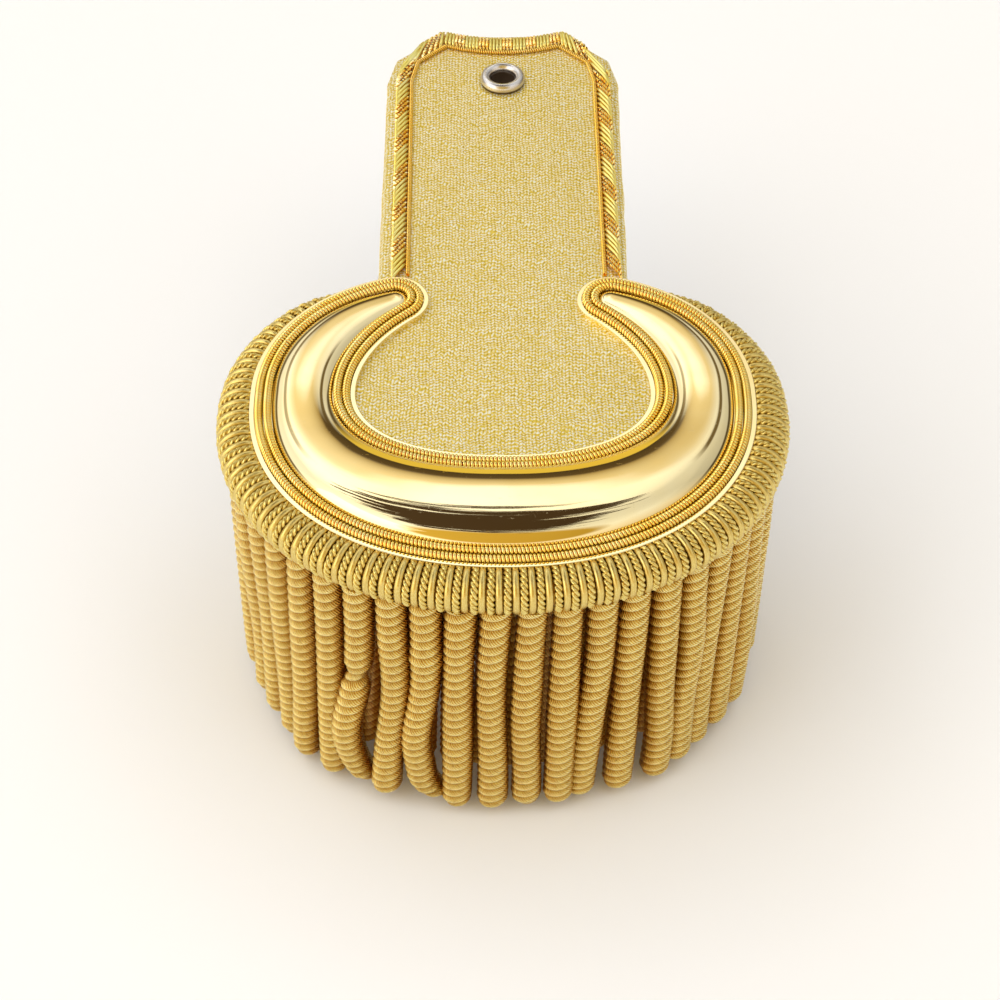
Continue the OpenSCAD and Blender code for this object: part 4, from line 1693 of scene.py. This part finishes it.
        cord = Bench.rolled("twist", self.twist_steps, self.twist_sides, place)
        Bench.scale_map(cord, 1.0, length)
        Bench.merge(cord)
        coords = Bench.coords(cord)
        outward = np.hypot(coords[:, 0], coords[:, 2]) / radius
        ridge = np.clip((outward - 0.58) / 0.40, 0, 1)
        # The crown value sets the painted shade, darker between the plies and towards the underside.
        Bench.mark(cord, "crown", ridge * np.clip(0.55 + coords[:, 2] / (1.6 * radius), 0, 1))
        return cord

    def repeated(self, master: Piece, name: str, first: float, count: int, pitch: float, seed: int) -> Piece:
        """Arrays a cord around the heading and wraps the row over the roll.

        Args:
            master: The cord, lying along +Y.
            name: The row's name.
            first: How far around the first cord goes.
            count: How many cords there are.
            pitch: The distance between them.
            seed: The seed for their small differences.

        Returns:
            The wrapped row.
        """
        size = len(master.data.vertices)
        Bench.apply(master, "ARRAY", count=count, use_relative_offset=False, use_constant_offset=True,
                    constant_offset_displace=(pitch * MM, 0, 0))
        coords = Bench.coords(master)
        rng = random.Random(seed)
        for i in range(count):
            part = slice(i * size, (i + 1) * size)
            slant = rng.uniform(-self.slant, self.slant)
            coords[part, 0] += first + rng.uniform(-self.aside, self.aside) + slant * coords[part, 1]
            coords[part, 1] += rng.uniform(-self.slip, self.slip)
            coords[part, 2] += rng.uniform(*self.off_roll)
        Bench.move(master, coords)
        master.name = name
        self.wrap(master)
        Bench.smooth(master)
        return master

    def build(self) -> None:
        """Builds and dresses the roll's padding and its cords."""
        around = self.arc()[1][-1]
        count = int(around // self.pair_pitch)
        pitch = around / count
        length = self.section().length

        def core(row: int, column: int) -> tuple:
            """Point of the padding under the cords."""
            return row * around / self.core_steps, self.core_shares[column] * length, self.core_off

        padding = Bench.rolled("heading_padding", self.core_steps, len(self.core_shares) - 1, core)
        self.wrap(padding)
        Bench.merge(padding, recalculate=False)
        Bench.smooth(padding)
        # The padding carries no crown value, so its material paints it in the cords' darkest groove shade.
        Bench.dress(padding, TWIST, "gilt_cord", "heading")
        gimps = self.repeated(self.gimp(length), "heading_gimps", 0.25 * pitch, count, pitch, self.gimp_seed)
        Bench.dress(gimps, GIMP, "gilt_cord", "heading")
        twists = self.repeated(self.twist(length), "heading_twists", 0.75 * pitch, count, pitch, self.twist_seed)
        Bench.dress(twists, TWIST, "gilt_cord", "heading")


@dataclass(frozen=True)
class Habit:
    """How a hanging bullion leans, bows, is nipped and hooks at its end, in millimetres and shares of its length."""

    lean: float = -1.6
    bow: float = 0.0
    bow_at: float = 0.6
    nip: float = 0.0
    nip_at: float = 0.5
    hook: float = 0.0


HABITS = {
    -6: Habit(lean=-2.2, bow=-0.8, bow_at=0.9),
    -5: Habit(lean=-2.0),
    -4: Habit(lean=-1.2, bow=-2.8, bow_at=0.72, nip=0.34, nip_at=0.42, hook=1.6),
    -3: Habit(lean=-2.6, bow=0.9, bow_at=0.45),
    -2: Habit(lean=-2.2, bow=-2.2, bow_at=0.66, nip=-0.10, nip_at=0.26, hook=4.0),
    -1: Habit(lean=-1.5),
    0: Habit(lean=-1.6),
    1: Habit(lean=-1.6, bow=-0.5),
    2: Habit(lean=-1.9),
    3: Habit(lean=-2.6, bow=0.5, bow_at=0.3),
    4: Habit(lean=-2.0),
    5: Habit(lean=-0.6, bow=0.8, bow_at=0.8),
    6: Habit(lean=-1.0, bow=1.0, bow_at=0.4),
}


@dataclass
class Fringe:
    """The hanging bullions: a full outer row, and a thinner inner row behind it."""

    thick: float = 6.9
    inner_thick: float = 6.0
    drop: float = 68.5
    inner_short: float = 6.0
    pitch: float = 7.25
    inner_pitch: float = 6.4
    out: float = 3.0
    inner_in: float = 4.0
    pull: float = 1.4
    ends_at: float = 124.0
    inner_ends_at: float = 119.0
    top: float = -2.7
    inner_top: float = -0.3
    lobe: float = 2.5
    shift: float = 2.5
    slack: float = 0.1
    gather_top: float = 0.3
    gather_low: float = 1.4
    gather_from: float = 34.0
    gather_over: float = 24.0
    blunt_over: float = 1.1
    hook_from: float = 0.86
    hook_rise: float = 0.35
    nip_over: float = 0.035
    bow_over: float = 0.2
    bow_ahead: float = 0.3
    swell: float = 0.025
    sway: float = 0.5
    stray: float = 0.5
    ahead: tuple = (-0.5, 0.3)
    trim: float = 1.6
    left_seed: int = 11
    right_seed: int = 12
    inner_seed: int = 13
    turn_profile: tuple = ((0.72, 0.0), (0.80, 0.12), (0.885, 0.30), (0.95, 0.50), (0.99, 0.70), (1.0, 0.84),
                           (0.975, 0.96), (0.90, 1.03), (0.76, 1.04))
    inner_turn_profile: tuple = ((0.72, 0.0), (0.86, 0.4), (1.0, 0.88), (0.86, 1.02))
    sides: int = 22
    inner_sides: int = 12
    front_y: float = -48.0
    smooth_below: float = 55.0
    band: tuple = ((-1.6, -0.4), (-1.6, -7.5), (-0.9, -7.8), (0.2, -7.5), (0.2, -0.4), (-1.6, -0.4))
    band_steps: int = 120
    band_map: tuple = (300.0, 8.0)
    band_smooth_below: float = 40.0

    def master(self, name: str, length: float, columns: int, profile: tuple) -> Piece:
        """Models one straight bullion, two ribbons of wire wound round each other, hanging from zero down.

        Args:
            name: The piece's name.
            length: Its length in millimetres.
            columns: How many steps go round it.
            profile: The section of one turn, as shares of the radius and of the turn's height from its top down.

        Returns:
            The bullion with a radius of one millimetre.
        """
        lobes = math.ceil(length / self.lobe) + 4
        per = len(profile)

        def place(row: int, column: int) -> tuple:
            """Point of the bullion's surface."""
            radius, low = profile[row % per]
            angle = FULL_TURN * column / columns
            z = -(row // per + low) * self.lobe + 2 * self.lobe * column / columns + self.lobe
            return radius * math.cos(angle), radius * math.sin(angle), z

        piece = Bench.rolled(name, lobes * per - 1, columns, place)
        Bench.scale_map(piece, 1.0, lobes - 1 / per)
        Bench.merge(piece, recalculate=False)
        for height, clear_outer in ((0.0, True), (-length, False)):
            with Bench.editing(piece):
                bpy.ops.mesh.bisect(plane_co=(0, 0, height * MM), plane_no=(0, 0, 1), use_fill=True,
                                    clear_outer=clear_outer, clear_inner=not clear_outer, threshold=1e-7)
        Bench.merge(piece)
        return piece

    def stations(self, past: float, pull: float, ends_at: float, pitch: float, shift: float) -> list[tuple]:
        """Place of each bullion of a row, from the left, and the way out of the row there.

        Args:
            past: How far past the pad's edge the row runs in front.
            pull: How far it is drawn in where the heading is thinnest.
            ends_at: The angle in degrees from the front of its ends.
            pitch: The wanted distance between bullions.
            shift: How far the front bullions stand off an even row, fading to none at its ends.

        Returns:
            The places and unit vectors in plan.
        """
        heading = Heading()
        turns = np.array(even_steps(-ends_at, ends_at, 2.0))
        runs = run_up(np.array([heading.below(t, past, pull) for t in turns]))
        count = int(runs[-1] // pitch)
        shares = np.arange(count + 1) / count
        angles = np.interp(shares * runs[-1] + shift * np.sin(math.pi * shares), runs, turns)
        return [(heading.below(t, past, pull), PLAN.to_edge(t, Side.OUTER)) for t in angles]

    def hang(self, piece: Piece, place: np.ndarray, away: np.ndarray, radius: float, top: float,
             length: float, habit: Habit, rng: random.Random) -> None:
        """Shapes a copy of the master into one bullion and hangs it in its place.

        Args:
            piece: The straight copy.
            place: Where its axis meets the heading, in plan.
            away: The way out of the row there.
            radius: The bullion's radius.
            top: The height of its top.
            length: Its length.
            habit: How it bends.
            rng: The source of its small differences.
        """
        coords = Bench.coords(piece)
        share = np.clip(-coords[:, 2] / length, 0, 1)
        spin = rng.uniform(0, FULL_TURN)
        turn = np.array([[math.cos(spin), math.sin(spin)], [-math.sin(spin), math.cos(spin)]])
        blunt_l = self.blunt_over * radius
        ending = np.clip((share * length - length + blunt_l) / blunt_l, 0, 1)
        blunt = np.sqrt(np.clip(1 - 0.8 * ending ** 2.6, 0, 1))
        swell = 1 + self.swell * np.sin(share * rng.uniform(5, 11) + rng.uniform(0, 6))
        nip = 1 - habit.nip * np.exp(-((share - habit.nip_at) / self.nip_over) ** 2)
        body = radius * blunt * swell * nip
        phase = rng.uniform(0, 3)
        sway = rng.uniform(-self.sway, self.sway) * np.sin(share * math.pi * rng.uniform(1.0, 2.2) + phase)
        low = np.clip((share - self.hook_from) / (1 - self.hook_from), 0, 1)
        bend = np.exp(-((share - habit.bow_at) / self.bow_over) ** 2)
        aside = float(np.clip((abs(place[0]) - self.gather_from) / self.gather_over, 0, 1))
        drawn = -math.copysign(aside, place[0]) * (self.gather_top + self.gather_low * share)
        lean = (1 - aside) * habit.lean + rng.uniform(-self.stray, self.stray)
        across = lean * share + habit.bow * bend + sway + drawn
        across += habit.hook * low ** 2
        ahead = rng.uniform(*self.ahead) * share + self.bow_ahead * habit.bow * bend
        centre = place + np.column_stack([across - sway[0], ahead])
        run = share + self.slack * share * (1 - share)
        trim = rng.uniform(0.0, self.trim)
        z = top - run * (length - trim) + self.hook_rise * abs(habit.hook) * low ** 2
        flat = coords[:, :2] @ turn
        facing = flat @ away / np.maximum(0.2, np.linalg.norm(flat, axis=1))
        # The facing value sets where the material paints shade on the sides that face the neighbouring bullions.
        Bench.mark(piece, "facing", np.abs(facing))
        Bench.move(piece, np.column_stack([centre + flat * body[:, None], z]))

    def row(self, name: str, places: list[tuple], radius: float, top: float, master: Piece, length: float,
            seed: int, habits: dict[int, Habit]) -> Piece:
        """Hangs a row of bullions and joins them.

        Args:
            name: The row's name.
            places: The place of each bullion.
            radius: The bullions' radius.
            top: The height of their tops.
            master: The straight bullion that is copied.
            length: Its length.
            seed: The seed for their small differences.
            habits: The bends of those that don't hang as most do, by their place in the row.

        Returns:
            The joined row.
        """
        rng = random.Random(seed)
        made = []
        for index, (place, away) in enumerate(places):
            piece = Bench.copied(master, "bullion")
            self.hang(piece, place, away, radius, top, length, habits.get(index, Habit()), rng)
            made.append(piece)
        row = Bench.joined(made, name)
        Bench.smooth(row, self.smooth_below)
        return row

    def head(self) -> Piece:
        """Builds the woven band that the bullions' tops are fused to, behind the heading."""
        heading = Heading()

        def place(row: int, column: int) -> tuple:
            """Point of the band's surface."""
            turn = -self.inner_ends_at + 2 * self.inner_ends_at * column / self.band_steps
            past, z = self.band[row]
            x, y = heading.below(turn, past, self.pull)
            return x, y, z

        band = Bench.rolled("fringe_head", len(self.band) - 1, self.band_steps, place)
        Bench.scale_map(band, *self.band_map)
        Bench.close(band)
        Bench.smooth(band, self.band_smooth_below)
        return band

    def build(self) -> None:
        """Builds and dresses both rows."""
        length = self.drop + self.top
        master = self.master("master_bullion", length, self.sides, self.turn_profile)
        places = self.stations(self.out, self.pull, self.ends_at, self.pitch, self.shift)
        half = len(places) // 2
        front = np.array([0.0, self.front_y])
        middle = min(range(len(places)), key=lambda i: np.linalg.norm(places[i][0] - front))
        halves = (("fringe_left", places[:half], middle, self.left_seed),
                  ("fringe_right", places[half:], middle - half, self.right_seed))
        for name, stretch, front_one, seed in halves:
            habits = {front_one + offset: habit for offset, habit in HABITS.items()}
            row = self.row(name, stretch, self.thick / 2, self.top, master, length, seed, habits)
            Bench.dress(row, BULLION, "bullion", "fringe")
        bpy.data.objects.remove(master)
        # The band carries no facing value, so its material paints it in the darkest side shade.
        Bench.dress(self.head(), THIN_BULLION, "bullion", "fringe")
        length = self.drop - self.inner_short + self.inner_top
        thin = self.master("master_thin_bullion", length, self.inner_sides, self.inner_turn_profile)
        places = self.stations(-self.inner_in, 0.0, self.inner_ends_at, self.inner_pitch, 0.0)
        inner = self.row("fringe_inner", places, self.inner_thick / 2, self.inner_top, thin, length,
                         self.inner_seed, {})
        Bench.dress(inner, THIN_BULLION, "bullion", "inner_fringe")
        bpy.data.objects.remove(thin)


@dataclass
class Studio:
    """Plain floor, soft lights and the photograph's camera."""

    camera_place: tuple = (-0.64, -417.4, 410.6)
    down: float = 46.0
    lens: float = 97.2
    film: float = 36.0
    nearest: float = 0.01
    floor_z: float = -70.0
    floor_size: float = 6.0
    lit_point: tuple = (0.0, 0.03, 0.0)
    side_place: tuple = (-1.15, -0.62, 0.75)
    side_size: tuple = (1.2, 1.2)
    side_glow: float = 0.45
    overhead_place: tuple = (0.0, -0.2, 1.7)
    overhead_aim: tuple = (0.0, -0.2, 0.0)
    overhead_size: tuple = (2.4, 2.4)
    overhead_glow: float = 0.75
    white: float = 0.49
    ahead: tuple = ((0.0, (0.58, 0.5104, 0.406)), (0.35, (0.70, 0.616, 0.49)), (0.75, 0.68), (1.0, 0.49))
    front_ring: tuple = ((0.40, (0.42, 0.31, 0.05)), (0.46, (0.035, 0.025, 0.012)), (0.80, (0.06, 0.04, 0.018)),
                         (0.85, (0.20, 0.14, 0.045)), (0.96, (0.32, 0.25, 0.11)), (0.99, 0.49))
    side_ring: tuple = ((0.0, 0.44), (0.52, 0.47), (0.60, (0.10, 0.075, 0.04)), (0.72, (0.10, 0.075, 0.04)),
                        (0.78, 0.49), (1.0, 0.49))
    low_sides: tuple = ((0.0, (0.52, 0.48, 0.38)), (0.10, (0.48, 0.43, 0.31)), (0.18, (0.15, 0.11, 0.06)),
                        (0.28, (0.17, 0.13, 0.07)), (0.36, 1.0), (1.0, 1.0))
    crest_way: tuple = (0.0, 0.69, 0.724)
    crest_spread: float = 5.0
    front_edge: tuple = (0.10, 0.24)
    top_edge: tuple = (0.68, 0.74)
    back_edge: tuple = (0.40, 0.60)
    golden: tuple = (0.34, 0.22, 0.035)
    golden_way: tuple = (0.0, -0.72, 0.694)
    golden_edge: tuple = (0.84, 0.90)
    dark: tuple = (0.035, 0.022, 0.012)
    spot: tuple = (-0.14, 0.51, 0.849)
    spot_edge: tuple = (0.86, 0.98)
    spot_glow: float = 0.28
    opening: tuple = (-0.07, 0.11, 0.0)
    opening_scale: tuple = (2.5, 2.15, 0.0)
    opening_edge: tuple = (0.70, 0.74)
    opening_above: tuple = (0.1, 0.3)
    strength: float = 2.0
    strength_fall: float = -0.8

    def light(self, name: str, place: tuple, aim: tuple, size: tuple, glow: float) -> Piece:
        """Adds a soft rectangular light.

        Args:
            name: The light's name.
            place: Where it stands, in metres.
            aim: The point that it faces.
            size: Its width and height.
            glow: How bright its face looks.

        Returns:
            The light.
        """
        bpy.ops.object.light_add(type="AREA", location=place)
        lamp = bpy.context.object
        lamp.name = name
        lamp.data.shape = "RECTANGLE"
        lamp.data.size, lamp.data.size_y = size
        lamp.data.energy = glow * math.pi * size[0] * size[1]
        lamp.rotation_euler = (Vector(aim) - Vector(place)).to_track_quat("-Z", "Y").to_euler()
        return lamp

    def tent(self) -> None:
        """Surrounds the scene with a soft light tent, brighter on the left, with a ragged dark opening overhead.

        The camera's side is warm, with a golden stretch. The far side has dark and golden rings around the way that
        the dome's crest reflects, and dark stretches low at the sides.
        """
        r = Recipe("tent", world=True)
        way = r.node("TexCoord").outputs["Generated"]
        high = r.part(way, "Z")
        golden = r.fade(r.towards(way, self.golden_way), *self.golden_edge)
        ahead = r.blend(golden, r.ramp(high, self.ahead), self.golden)
        behind = r.fade(r.math("MULTIPLY_ADD", r.part(way, "Y"), 0.5, 0.5), *self.back_edge)
        dark, lit = self.spot_edge
        spot = r.ramp(r.towards(way, self.spot), [(dark, 0.0), (lit, self.spot_glow)])
        glow = r.blend(1.0, r.blend(behind, ahead, self.back(r, way)), spot, "ADD")
        r.feed(r.surface.inputs["Color"], r.blend(self.clear(r, way), self.dark, glow))
        r.feed(r.surface.inputs["Strength"],
               r.math("MULTIPLY_ADD", r.part(way, "X"), self.strength_fall, self.strength))

    def back(self, r: Recipe, way: Socket) -> Socket:
        """Colour of the tent's far side, behind the piece as the camera sees it.

        Args:
            r: The tent's recipe.
            way: The way that is looked along.

        Returns:
            The colour socket.
        """
        high = r.part(way, "Z")
        aside = r.math("ABSOLUTE", r.part(way, "X"))
        ring = r.math("MULTIPLY_ADD", r.towards(way, self.crest_way), self.crest_spread, 1 - self.crest_spread)
        sides = r.tinted(r.ramp(ring, self.side_ring), r.ramp(high, self.low_sides))
        rings = r.blend(r.fade(aside, *self.front_edge), r.ramp(ring, self.front_ring), sides)
        return r.blend(r.fade(high, *self.top_edge), rings, (self.white,) * 3)

    def clear(self, r: Recipe, way: Socket) -> Socket:
        """Where the tent is lit: all but its ragged dark opening.

        Args:
            r: The tent's recipe.
            way: The way that is looked along.

        Returns:
            One where it is lit and zero in the opening.
        """
        from_opening = r.node("VectorMath", {0: way, 1: self.opening}, operation="SUBTRACT").outputs["Vector"]
        across = r.stretched(from_opening, self.opening_scale)
        reach = r.node("VectorMath", {0: across}, operation="LENGTH").outputs["Value"]
        streaks = r.noise(r.stretched(way, (1.0, 9.0, 1.0)), 2.2, 4.0, 0.65)
        ragged = r.math("MULTIPLY_ADD", streaks, 1.5, r.math("MULTIPLY", reach, 0.8))
        edge = r.fade(r.math("MULTIPLY", ragged, 0.5), *self.opening_edge)
        return r.blend(r.fade(r.part(way, "Z"), *self.opening_above), (1.0, 1.0, 1.0), edge)

    def build(self) -> None:
        """Builds the floor, the lights, the world and the camera."""
        Bench.clear()
        bpy.ops.mesh.primitive_grid_add(x_subdivisions=8, y_subdivisions=8, size=self.floor_size,
                                        location=(0, 0, self.floor_z * MM))
        floor = Bench.named("floor")
        floor.data.materials.append(FLOOR.material())
        floor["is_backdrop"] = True
        self.light("side_left", self.side_place, self.lit_point, self.side_size, self.side_glow)
        overhead = self.light("overhead", self.overhead_place, self.overhead_aim, self.overhead_size,
                              self.overhead_glow)
        overhead.visible_glossy = False
        self.tent()
        bpy.context.scene.view_settings.view_transform = "Standard"
        bpy.ops.object.camera_add(location=tuple(c * MM for c in self.camera_place),
                                  rotation=(math.radians(90 - self.down), 0, 0))
        camera = bpy.context.object
        camera.name = "photo_camera"
        camera.data.lens = self.lens
        camera.data.sensor_width = self.film
        camera.data.clip_start = self.nearest
        bpy.context.scene.camera = camera


def corners(box: tuple) -> list:
    """A box's two corners as plain lists of numbers."""
    return [list(map(float, corner)) for corner in box]


def main() -> None:
    """Loads the frame and builds every sub-assembly around it."""
    logging.basicConfig(level=logging.INFO, format="%(message)s")
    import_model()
    cad_box = corners(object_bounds())
    for assembly in (Studio(), Cloth(), Eyelet(), Crescent(), PearlRows(), Border(), Heading(), Fringe()):
        LOG.info("building %s", type(assembly).__name__)
        assembly.build()
    Bench.clear()
    {"cad": cad_box, "visual": corners(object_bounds())}


if __name__ == "__main__":
    main()
